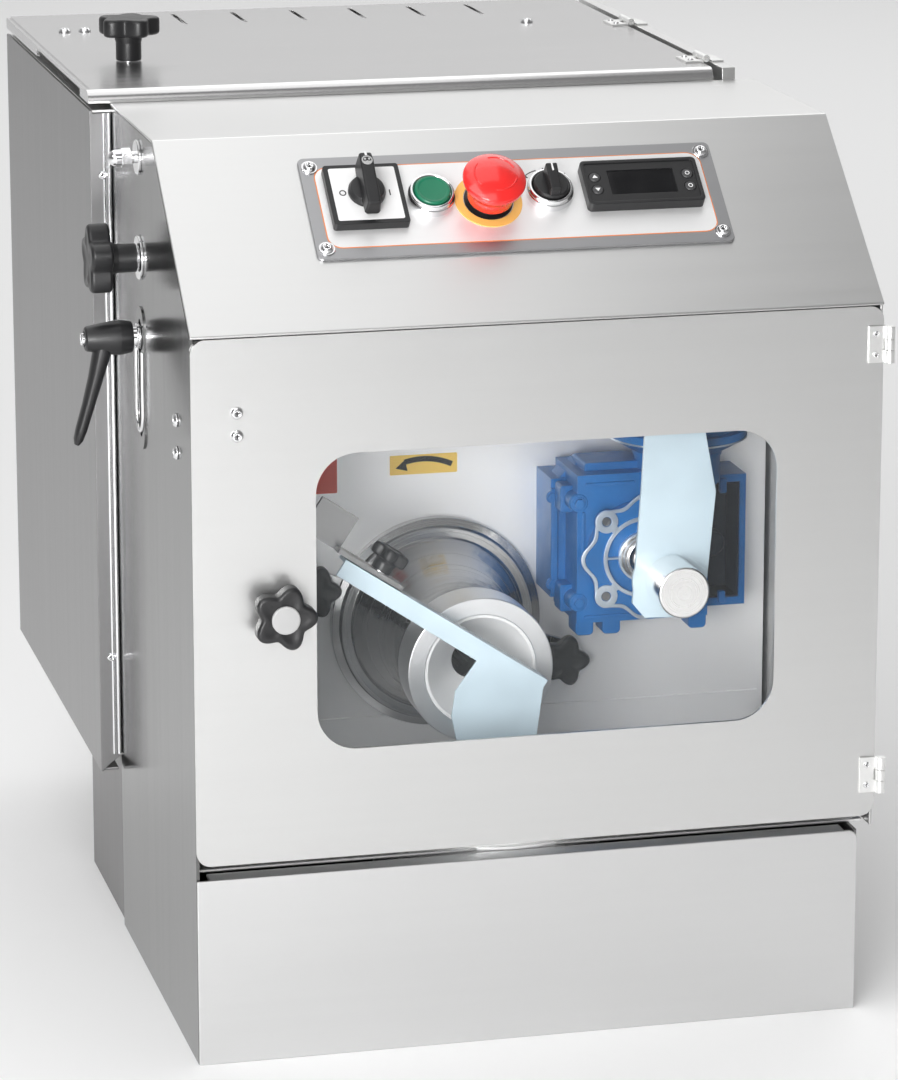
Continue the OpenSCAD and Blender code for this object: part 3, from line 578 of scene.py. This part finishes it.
def slope_frame(node):
    """Local frame on the slope under a node: x to the right, y up the slope, z out of it."""
    centre = mid(node)
    return basis(centre + NORMAL * (SLOPE_LEVEL - centre.dot(NORMAL)), NORMAL)


def plate_size():
    """Width and length of the control plate, in mm."""
    up = NORMAL.cross(X)
    width = reach("control_plate", X)
    length = reach("control_plate", up)
    return (width[1] - width[0]) / MM, (length[1] - length[0]) / MM


def make_plate_field():
    place = slope_frame("control_plate")
    w, l = plate_size()
    edge, line, top = 8.0, 0.7, PLATE_TOP
    outer = rectangle(-w / 2 + edge, -l / 2 + edge, w / 2 - edge, l / 2 - edge, 9)
    inner = rectangle(-w / 2 + edge + line, -l / 2 + edge + line, w / 2 - edge - line, l / 2 - edge - line, 8.3)
    rim = prism(outer, top - 0.2, top + 0.10)
    field = prism(inner, top - 0.1, top + 0.16)
    piece("control_plate_line", rim, place, "orange_ink", "chassis")
    piece("control_plate_field", field, place, "field_steel", "chassis")


def tick(x, y, length, angle, width=0.8):
    half = width / 2
    bar = prism([(-half, 0), (half, 0), (half, length), (-half, length)], 0, 0.14)
    return bar, shift(x, y, 0) @ turn(angle)


def arc_band(radius, width, start, end, steps=24):
    angles = [math.radians(start + (end - start) * k / steps) for k in range(steps + 1)]
    outer = [(radius * math.cos(a), radius * math.sin(a)) for a in angles]
    inner = [((radius - width) * math.cos(a), (radius - width) * math.sin(a)) for a in reversed(angles)]
    return prism(outer + inner, 0, 0.14)


def make_plate_marks():
    """Printed ticks round the selector and a short bar over the push button."""
    lift = shift(0, 0, PLATE_TOP + 0.15)
    marks = []
    for angle in (40, 0, -40):
        x, y = 17.0 * math.sin(math.radians(-angle)), 17.0 * math.cos(math.radians(-angle))
        marks.append(tick(x, y, 3.4, angle))
    marks.append((arc_band(19.6, 0.6, 104, 138), Matrix.Identity(4)))
    piece("selector_marks", join(*[(bm, lift @ m) for bm, m in marks]), slope_frame("selector_knob"),
          "black_plastic", "chassis")
    bar = prism(rectangle(-1.0, 17.6, 1.0, 19.6, 0.9), PLATE_TOP + 0.15, PLATE_TOP + 0.3)
    piece("start_mark", bar, slope_frame("start_button"), "black_plastic", "chassis")


def make_switch():
    place = slope_frame("switch_frame")
    top = PLATE_TOP + 6
    face = prism(rectangle(-20.5, -20.5, 20.5, 20.5, 1.2), top - 0.3, top + 0.2)
    piece("switch_face", face, place, "white_plastic", "chassis")
    marks = join((arc_band(2.2, 0.7, 0, 359.9, 32), shift(-14.5, 1, top + 0.2)),
                 (prism([(-0.4, -2.2), (0.4, -2.2), (0.4, 2.2), (-0.4, 2.2)], 0, 0.1), shift(14.5, 0, top + 0.2)))
    piece("switch_marks", marks, place, "black_plastic", "chassis")
    hub = lathe([(0, 3), (3, 3), (3, top + 0.3), (11.5, top + 0.3), (11.5, top + 3), (10.2, top + 6), (0, top + 7)],
                64, 0.8)
    stations = [(-19, 4.2, 20.0), (-18, 5.0, 22.0), (-8, 5.4, 23.5), (4, 5.2, 24.6), (12, 5.3, 26.0),
                (17.6, 4.8, 25.4), (19, 3.8, 23.0)]
    loops = []
    for y, half, high in stations:
        shape = [(-half, PLATE_TOP + 9.5), (half, PLATE_TOP + 9.5), (half * 0.78, high), (-half * 0.78, high)]
        loops.append([(p[0], y, p[1]) for p in fillet(shape, 1.4, 4)])
    handle = loft(loops)
    piece("switch_handle_grip", join(hub, handle), place, "black_plastic", "main_switch",
          ("switch_handle",), bevel=0.5)
    lock = [lathe([(0, 25.6), (3.4, 25.6), (3.4, 26.1), (2.6, 26.2), (2.6, 25.9), (0, 25.9)], 40)]
    lock += [lathe([(0, 25.8), (0.8, 25.8), (0.7, 26.4), (0, 26.4)], 20) for _ in range(3)]
    spots = [shift(0, 11.5, -0.1)] + [shift(1.5 * math.cos(a), 11.5 + 1.5 * math.sin(a), -0.1)
                                      for a in (0.5, 2.6, 4.7)]
    piece("switch_lock", join(*zip(lock, spots)), place, "grey_plastic", "main_switch")
    pointer = prism(rectangle(-0.7, 15.4, 0.7, 18.4, 0.3), 25.0, 25.8)
    piece("switch_pointer", pointer, place, "white_plastic", "main_switch")


def make_bezel(node, name, first):
    place = slope_frame(node)
    t = PLATE_TOP
    ring = lathe([(0, t), (14.5, t), (14.5, t + 4.6), (13.9, t + 5.2), (13.9, t + 5.8), (14.3, t + 6.2),
                  (13.4, t + 7.9), (12.3, t + 8.1), (11.35, t + 7.2), (11.35, t + 1), (0, t + 1)], 96, 0.25)
    replaced = ("button_bezels",) if first else ()
    piece(name, ring, place, "chrome", "chassis", replaced)


def make_buttons():
    make_bezel("start_button", "start_bezel", True)
    make_bezel("selector_knob", "selector_bezel", False)
    t = PLATE_TOP
    lens = lathe([(0, t + 5.2), (11, t + 5.2), (11, t + 8.5), (10.3, t + 9.2), (9.2, t + 9.2), (8.4, t + 8.9),
                  (0, t + 8.6)], 96, 0.3)
    piece("start_lens", lens, slope_frame("start_button"), "green_plastic", "start_button",
          ("start_button",))
    drum = lathe([(0, t + 1.3), (11, t + 1.3), (11, t + 8.6), (10.2, t + 10.2), (0, t + 10.4)], 72, 0.6)
    stations = [(-10, 2.4, 16.5), (-9, 3.2, 18.5), (0, 3.4, 20.2), (8.4, 3.5, 21.0), (10, 2.6, 19.0)]
    loops = []
    for y, half, high in stations:
        shape = [(-half - 0.5, t + 9), (half + 0.5, t + 9), (half, high), (-half, high)]
        loops.append([(p[0], y, p[1]) for p in fillet(shape, 0.9, 4)])
    piece("selector_grip", join(drum, loft(loops)), slope_frame("selector_knob"), "black_plastic", "selector",
          ("selector_knob",), bevel=0.35)
    line = prism([(-0.5, 3.0), (0.5, 3.0), (0.5, 8.6), (-0.5, 8.6)], 20.2, 21.15)
    piece("selector_line", line, slope_frame("selector_knob"), "white_plastic", "selector")


def make_emergency_stop():
    place = slope_frame("estop_base")
    t = PLATE_TOP
    disc = prism(circle(21, 96), t, t + 0.8, holes=[circle(15.6, 64)])
    piece("estop_disc", disc, place, "yellow_plastic", "chassis", ("estop_base",), bevel=0.2)
    collar = lathe([(9.0, t + 0.3), (12.3, t + 0.3), (12.3, t + 9), (9.0, t + 9), (9.0, t + 0.3)], 72, 0.3)
    base = lathe([(12.0, t + 0.3), (15.2, t + 0.3), (15.2, t + 1.0), (12.0, t + 1.0), (12.0, t + 0.3)], 72)
    piece("estop_collar", join(collar, base), place, "black_plastic", "chassis")
    dome_r, dome_z = 32.5, t + 6 + 17 - 26
    dome = []
    for k in range(13):
        r = 18.4 * (1 - k / 12)
        dome.append((r, dome_z + math.sqrt(dome_r ** 2 - r ** 2)))
    skirt = [(0, t + 13.3), (12.8, t + 13.3), (12.8, t + 5.2), (14.2, t + 5.2), (14.6, t + 12.4), (16.6, t + 16.4),
             (19.0, t + 19.2), (19.5, t + 21.6), (19.3, t + 23.0)]
    head = lathe(fillet(skirt + dome[:1], 1.6, 5, closed=False) + dome[1:], 96)
    frame_head = slope_frame("estop_head")
    piece("estop_mushroom", head, frame_head, "red_plastic", "emergency_stop",
          ("estop_head",), limit=60)
    arrows = []
    for start in (20, 140, 260):
        path = []
        for k in range(17):
            a = math.radians(start + 80 * k / 16)
            path.append((13 * math.cos(a), 13 * math.sin(a), dome_z + math.sqrt(dome_r ** 2 - 169)))
        arrows.append(tube(path, 0.55, sides=10))
    piece("estop_arrows", join(*arrows), frame_head, "red_plastic", "emergency_stop")


def make_controller():
    place = slope_frame("controller_housing")
    t = PLATE_TOP
    formed("controller_housing", "black_plastic", 0.6)
    screen = prism(rectangle(-20.6, -9.1, 20.6, 9.1, 0.8), t + 5.2, t + 5.9)
    piece("controller_screen", screen, place, "black_gloss", "chassis", bevel=0.2)
    outer, inner = rectangle(-37, -17.5, 37, 17.5, 3), rectangle(-34.6, -15.1, 34.6, 15.1, 2)
    rim = prism(outer, t + 6.2, t + 7.2, holes=[inner])
    piece("controller_rim", rim, place, "black_plastic", "chassis", bevel=0.35)
    for node in ("key_up", "key_down", "key_mode", "key_set"):
        cap = lathe([(0, t + 5), (3.5, t + 5), (3.5, t + 6.6), (3.0, t + 7.15), (0, t + 7.2)], 40, 0.25)
        key_place = slope_frame(node)
        piece(node + "_cap", cap, key_place, "key_plastic", BODY_OF[node], (node,))
        spin = {"key_up": 0, "key_down": 180}.get(node)
        if spin is None:
            mark = arc_band(1.5, 0.5, 0, 359.9, 24)
        else:
            mark = prism([(-1.7, -1.0), (1.7, -1.0), (0, 1.6)], 0, 0.1)
        lift = shift(0, 0, t + 7.16) @ turn(spin or 0)
        piece(node + "_mark", join((mark, lift)), key_place, "white_plastic", BODY_OF[node])


# ---------- fasteners ----------

def screw_head(radius, steps=40):
    """Round head with a chamfered edge and a round socket."""
    high = radius * 0.62
    return lathe([(0, 0), (radius, 0), (radius, high * 0.35), (radius * 0.72, high * 0.9), (radius * 0.45, high),
                  (radius * 0.42, high * 0.45), (0, high * 0.45)], steps, radius * 0.12)


def painted_cross_shade(radius):
    """Black cross on the floor of a head's socket: painted shade of a cross recess."""
    w, l, z = radius * 0.10, radius * 0.40, radius * 0.62 * 0.45
    bars = [prism([(-l, -w), (l, -w), (l, w), (-l, w)], z, z + 0.06), prism([(-w, -l), (w, -l), (w, l), (-w, l)], z, z + 0.07)]
    return join(*bars)


def screws(name, spots, radius, axis, body, replaces=(), washer=0.0, look="chrome"):
    """Screw heads at points of the row frame, all pointing along axis."""
    heads, marks = [], []
    for spot in spots:
        place = basis(Vector(spot), axis, Z if abs(Vector(axis).dot(X)) > 0.5 else X)
        local = Matrix.Scale(1 / MM, 4) @ place @ Matrix.Scale(MM, 4)
        lift = shift(0, 0, 0.6) if washer else Matrix.Identity(4)
        heads.append((screw_head(radius), local @ lift))
        # the black crosses are painted shade in the sockets
        marks.append((painted_cross_shade(radius), local @ lift))
        if washer:
            ring = lathe([(0, 0), (washer, 0), (washer, 0.5), (washer - 0.3, 0.8), (0, 0.8)], 40)
            heads.append((ring, local))
    piece(name, join(*heads), Matrix.Identity(4), look, body, replaces)
    piece(name + "_socket_shade", join(*marks), Matrix.Identity(4), "black_plastic", body)


def islands(node):
    """Boxes of a CAD node's separate solids: (centre, lowest corner, highest corner)."""
    bm = bmesh.new()
    bm.from_mesh(NODES[node].data)
    bmesh.ops.remove_doubles(bm, verts=bm.verts, dist=2e-6)
    left, found = set(bm.verts), []
    while left:
        stack, group = [left.pop()], []
        while stack:
            vert = stack.pop()
            group.append(vert.co.copy())
            for edge in vert.link_edges:
                other = edge.other_vert(vert)
                if other in left:
                    left.remove(other)
                    stack.append(other)
        low = Vector([min(p[i] for p in group) for i in range(3)])
        high = Vector([max(p[i] for p in group) for i in range(3)])
        found.append(((low + high) / 2, low, high))
    bm.free()
    return sorted(found, key=lambda item: tuple(round(c, 5) for c in item[0]))


def make_fasteners():
    panel_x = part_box("front_fascia")[0].x
    slope_spots, side_spots, flange_spots = [], [], []
    for centre, low, high in islands("casing_fasteners"):
        size = high - low
        if centre.dot(NORMAL) > SLOPE_LEVEL and centre.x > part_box("control_plate")[0].x:
            slope_spots.append(centre + NORMAL * (SLOPE_LEVEL + PLATE_TOP * MM - centre.dot(NORMAL)))
        elif size.y < size.z * 0.7:
            flange_spots.append(Vector((centre.x, high.y, centre.z)))
        elif size.z < 0.010:
            side_spots.append(Vector((high.x, centre.y, centre.z)))
    screws("casing_fasteners_plate", slope_spots, 3.9, NORMAL, "chassis",
           ("casing_fasteners",), washer=5.2)
    screws("casing_fasteners_side", side_spots, 4.2, -X, "chassis")
    screws("casing_fasteners_flange", flange_spots, 3.0, -Y, "chassis")
    make_acorn_nut(panel_x)


def make_acorn_nut(panel_x):
    lever = Vector(JOINTS["side_knob_turn"]["pos_m"])
    spot = Vector((panel_x, lever.y, max(high.z for c, low, high in islands("casing_fasteners")
                                         if c.x < panel_x and high.x - low.x > 0.012) - 0.011))
    place = basis(spot, -X, Z)
    washer = lathe([(0, 0), (11, 0), (11, 1.4), (10.4, 2), (0, 2)], 64, 0.3)
    neck = lathe([(0, 1.8), (4, 1.8), (4, 6), (0, 6)], 32)
    flats = prism(circle(6.2, 6), 5, 11)
    dome = lathe([(5.3, 10.6), (5.2, 13)] + [(5.2 * math.cos(a), 14 + 5.2 * math.sin(a))
                                            for a in [math.radians(9 * k) for k in range(11)]], 48)
    piece("acorn_nut", join(washer, neck, flats, dome), place, "chrome", "chassis", bevel=0.3)
    ring = lathe([(4.4, 0), (14, 0), (14, 1.5), (13.3, 2), (4.4, 2), (4.4, 0)], 64, 0.3)
    piece("side_knob_washer", ring, basis(Vector((panel_x, lever.y, lever.z)), -X, Z), "chrome", "chassis")


def make_cover_beads():
    """Two rolled edges where the rear cover's flange meets the left side panel."""
    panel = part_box("front_fascia")[0].x / MM
    low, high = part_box("left_rear_cover")
    front, bottom, top = low.y / MM, low.z / MM + 12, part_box("hopper_rim")[0].z / MM
    beads = []
    for offset, radius in ((-1.7, 1.5), (-5.0, 1.1)):
        path = [(panel + offset, front - 0.4, bottom + (top - bottom) * k / 8) for k in range(9)]
        beads.append(tube(path, radius, sides=20))
    piece("cover_edge_beads", join(*beads), Matrix.Identity(4), "chrome", "chassis", limit=60)


def make_slot_ring():
    """Bright chrome wire that runs round the lower end of the lever's slot."""
    lever = Vector(JOINTS["clamp_lever_turn"]["pos_m"]) / MM
    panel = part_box("front_fascia")[0].x / MM
    half, drop = 10.6, 60.0
    path = [(lever.y - half, lever.z - 8 - 5 * k) for k in range(9)]
    path += [(lever.y - half * math.cos(math.radians(15 * k)), lever.z - drop + half - half * math.sin(math.radians(15 * k)))
             for k in range(13)]
    path += [(lever.y + half, lever.z - 48 + 5 * k) for k in range(9)]
    wire = tube([(panel - 1.6, y, z) for y, z in path], 1.3, sides=16)
    piece("slot_ring", wire, Matrix.Identity(4), "chrome", "chassis", limit=60)


def node_screws(node, axis):
    """Screw heads where a fastener node's own solids sit, grouped by radius."""
    groups = {}
    for centre, low, high in islands(node):
        flat = [i for i in range(3) if abs(axis[i]) < 0.5]
        radius = round((high - low)[flat[0]] / 2 / MM, 1)
        spot = centre.copy()
        side = 0 if sum(axis) > 0 else 1
        index = [i for i in range(3) if abs(axis[i]) > 0.5][0]
        spot[index] = (low, high)[side][index]
        groups.setdefault(radius, []).append(spot)
    for number, (radius, spots) in enumerate(sorted(groups.items())):
        replaced = (node,) if number == 0 else ()
        screws(f"{node}_heads_{number}", spots, radius, axis, BODY_OF[node], replaced)


# ---------- knife drive ----------

COVER_HEIGHT = 9.0
BOSS_RADIUS = 35.0
BOSS_ANGLES = (45, 135, 225, 315)


def drive_frame():
    """Local frame of the gearbox's front face: x right, y up, z towards the door."""
    axis = Vector(JOINTS["knife_swing"]["pos_m"])
    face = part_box("gearbox_cover")[0].y + COVER_HEIGHT * MM
    return basis(Vector((axis.x, face, axis.z)), -Y)


def scalloped(reach_out, wave, count=160):
    """Outline with eight round points, one at each boss and one between."""
    points = []
    for k in range(count):
        angle = math.tau * k / count
        radius = reach_out + wave * math.cos(8 * angle)
        points.append((radius * math.cos(angle), radius * math.sin(angle)))
    return points


def at_bosses(make):
    """A shape made once for each cover boss, and carried out to it."""
    return [(make(), turn(angle) @ shift(BOSS_RADIUS)) for angle in BOSS_ANGLES]


def make_cover():
    place, slot = drive_frame(), SLOT_OF["gearbox_cover"]
    plate = prism(scalloped(38.2, 2.6), 4.8, 7.8, holes=[circle(24.4, 96)])
    discs = at_bosses(lambda: prism(circle(7.6, 40), 4.8, 7.9))
    floor = prism(circle(24.6, 96), 4.9, 5.6, holes=[circle(13, 64)])
    piece("gearbox_cover_plate", join(plate, floor, *discs), place, "blue_paint", "chassis",
          ("gearbox_cover",), bevel=0.4)
    rim = prism(scalloped(38.8, 2.7), 7.6, 9.0, holes=[scalloped(36.3, 2.7)])
    bead = prism(circle(26.6, 96), 7.6, 9.0, holes=[circle(24.0, 96)])
    seat = prism(circle(16.4, 72), 5.4, 8.6, holes=[circle(14.9, 72)])
    rings = at_bosses(lambda: prism(circle(7.6, 40), 7.6, 9.1, holes=[circle(3.3, 28)]))
    bars = [(prism(rectangle(25.6, -2.6, 29.5, 2.6), 7.6, 9.0), turn(angle)) for angle in BOSS_ANGLES]
    spokes = [(prism(rectangle(15.8, -0.7, 24.6, 0.7), 5.4, 8.4), turn(90 * k)) for k in range(4)]
    piece("gearbox_cover_rim", join(rim, bead, seat, *rings, *bars, *spokes), place, "blue_machined",
          "chassis", bevel=0.3)
    bolts = at_bosses(lambda: lathe([(0, 7.8), (2.9, 7.8), (2.9, 8.5), (1.6, 8.5), (1.6, 8.0), (0, 8.0)], 28))
    piece("gearbox_cover_bolts", join(*bolts), place, "dark_steel", "chassis")
    hub = lathe([(10.4, 5), (14.8, 5), (14.8, 8.2), (13.6, 9.0), (13.6, 11.4), (12.4, 12.4), (10.4, 12.4), (10.4, 5)],
                72, 0.3)
    piece("shaft_seal", hub, place, "turned_steel", "chassis")


def hex_bolt(radius, height):
    shank = lathe([(0, -1), (radius * 1.25, -1), (radius * 1.25, 0.6), (0, 0.6)], 32)
    return join(shank, prism(circle(radius, 6), 0.4, height))


def make_gearbox_details():
    """Lugs, ribs, feet, and near-black walls, floor and gland in the side pocket: painted shade."""
    place, slot = drive_frame(), SLOT_OF["gearbox_housing"]
    formed("gearbox_housing", "blue_paint", 2.2, 3)
    lugs = []
    for high in (-30, 36):
        lugs.append((lathe([(0, -26), (6.4, -26), (6.4, -1), (5.6, 0.8), (0, 0.8)], 32, 0.6), shift(-41, high)))
        lugs.append((prism(rectangle(-7, -9, 3, 9, 2), -26, -12), shift(-43, high)))
    for x in (-36, -18, 40):
        lugs.append((prism(rectangle(-6, -8, 6, 4, 3), -20, -2), shift(x, -45)))
    for x, low, high in ((-50, -30, 40), (64, 30, 40), (64, -44, -36)):
        lugs.append((prism(rectangle(-2.4, low, 2.4, high, 1.2), -30, -25.5), shift(x)))
    lugs.append((prism(rectangle(-34, 52, 40, 59, 2), -42, -12), shift()))
    lugs.append((prism([(-52, 40), (-40, 52), (-30, 57), (-30, 40)], -50, -30), shift()))
    piece("gearbox_lugs", join(*lugs), place, "blue_paint", "chassis", bevel=0.9)
    ribs = [(prism(rectangle(-33, -1, 0, 1, 0.9), -0.4, 1.4), shift(x, y) @ turn(angle))
            for x, y, angle in ((-4, 48, 0), (40, 48, 0), (-4, -40, 0), (-38, 30, 90))]
    piece("gearbox_ribs", join(*ribs), place, "blue_paint", "chassis", bevel=0.5)
    spots = [shift(-41, -30, 0.6), shift(-41, 36, 0.6), shift(-51, -24, -27.6), shift(-51, 34, -27.6)]
    piece("gearbox_bolts", join(*[(hex_bolt(3.4, 2.8), spot) for spot in spots]), place, "blue_paint",
          "chassis", bevel=0.3)
    # the pocket's walls, back and gland are near-black: painted shade over the casting's blue inside
    pocket_shade_walls = prism(rectangle(50.3, -40.7, 75.7, 36.7), -54.6, -28.6, holes=[rectangle(51.1, -39.9, 74.9, 35.9)])
    back = prism(rectangle(50.6, -40.4, 75.4, 36.4), -54.7, -54.0)
    gland = lathe([(0, -54), (9, -54), (9, -44), (7.6, -42), (0, -42)], 40, 0.6)
    piece("gearbox_pocket_shade", join(pocket_shade_walls, back, (gland, shift(62, -8))), place, "pocket_painted_shade", "chassis")


def make_motor_rim():
    """Thin pale metal ring round the motor's lower flange."""
    low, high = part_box("knife_motor")
    axis = JOINTS["worm_spin"]["pos_m"]
    place = Matrix.Translation((axis[0], axis[1], low.z))
    edge = lathe([(44.2, 11.6), (45.3, 11.9), (45.3, 13.0), (44.2, 13.2), (44.2, 11.6)], 96, 0.2)
    piece("knife_motor_rim", edge, place, "blue_machined", "chassis")


# ---------- stickers ----------

def sticker(name, corner, width, height, look, radius=0.8):
    """Thin sheet on the bulkhead, with its lower left corner at corner in row-frame mm."""
    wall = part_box("nozzle_body")[1].y
    place = basis(Vector((corner[0] * MM, wall, corner[1] * MM)), -Y)
    piece(name, prism(rectangle(0, 0, width, height, radius), -0.02, 0.2), place, look, "chassis")
    return place


def make_stickers():
    """A plain turning arrow over the nozzle, and a blank coloured sticker beside it."""
    nozzle = Vector(JOINTS["auger_spin"]["pos_m"]) / MM
    place = sticker("direction_sticker", (nozzle.x - 29.5, nozzle.z + 98.5), 45, 13, "sticker_yellow")
    arc = (arc_band(46, 3.6, 64, 106), shift(22, -34.2, 0.18))
    head = (prism([(0, 3.4), (-6.4, -2.2), (1.6, -4.2)], 0, 0.14), shift(10.2, 6.6, 0.18))
    piece("direction_arrow", join(arc, head), place, "rubber", "chassis")
    sticker("blank_sticker", (nozzle.x - 88.5, nozzle.z + 89), 24, 26, "sticker_red")


make_knobs()
make_clamp_lever()
make_cover_beads()
make_slot_ring()
make_cover()
make_gearbox_details()
make_motor_rim()
make_stickers()
make_plate_field()
make_plate_marks()
make_switch()
make_buttons()
make_emergency_stop()
make_controller()
make_fasteners()
node_screws("door_screws", -Y)
node_screws("lid_studs", Z)


# ---------- stage, light and camera ----------

def make_stage():
    bpy.ops.mesh.primitive_plane_add(size=80)
    floor = bpy.context.object
    floor.name = "floor"
    look = Look("floor", (0.94, 0.94, 0.94), 0.75)
    look.tint(look.noise(look.place(), 0.4), 0.99, 1.01)
    floor.data.materials.append(look.material)


def make_world():
    world = bpy.data.worlds.new("studio")
    bpy.context.scene.world = world
    world.use_nodes = True
    tree = world.node_tree
    background = tree.nodes["Background"]
    background.inputs["Color"].default_value = (1, 1, 1, 1)
    direction = tree.nodes.new("ShaderNodeTexCoord").outputs["Generated"]
    parts = tree.nodes.new("ShaderNodeSeparateXYZ")
    tree.links.new(direction, parts.inputs["Vector"])
    back = tree.nodes.new("ShaderNodeMapRange")
    back.inputs["From Min"].default_value, back.inputs["From Max"].default_value = 0.1, 0.9
    back.inputs["To Min"].default_value, back.inputs["To Max"].default_value = 0.21, 0.60
    tree.links.new(parts.outputs["Y"], back.inputs["Value"])
    tree.links.new(back.outputs["Result"], background.inputs["Strength"])


def softbox(name, place, target, width, height, watts):
    data = bpy.data.lights.new(name, "AREA")
    data.shape = "RECTANGLE"
    data.size, data.size_y, data.energy = width, height, watts
    light = bpy.data.objects.new(name, data)
    light.matrix_world = basis(Vector(place), Vector(place) - Vector(target))
    bpy.context.scene.collection.objects.link(light)


def make_camera():
    data = bpy.data.cameras.new("camera")
    data.lens = 150
    data.sensor_width = 36
    data.shift_y = -100 / 1080
    camera = bpy.data.objects.new("camera", data)
    camera.location = (-0.6829, -2.7438, 1.0030)
    camera.rotation_euler = [math.radians(a) for a in (76.70, 0, -13.90)]
    bpy.context.scene.collection.objects.link(camera)
    bpy.context.scene.camera = camera


make_stage()
make_world()
softbox("key_light", (-1.3, -1.2, 1.4), (-1.2, -1.1, 0), 1.4, 1.4, 15)
softbox("slope_light", (-0.45, -0.3, 2.5), (-0.45, -0.3, 0), 2.1, 1.6, 11)
softbox("back_light", (1.1, 3.1, 3.0), (1.1, 2.9, 0), 5.0, 5.0, 88)
softbox("front_light", (-1.1, -2.3, 0.6), (0.1, 0, 0.28), 0.9, 0.9, 43)
softbox("front_sky", (-0.9, -3.1, 1.8), (0, 0, 0.4), 2.6, 1.5, 20)
make_camera()
bpy.context.scene.view_settings.view_transform = "Standard"


def corners(box):
    return [list(corner) for corner in box]
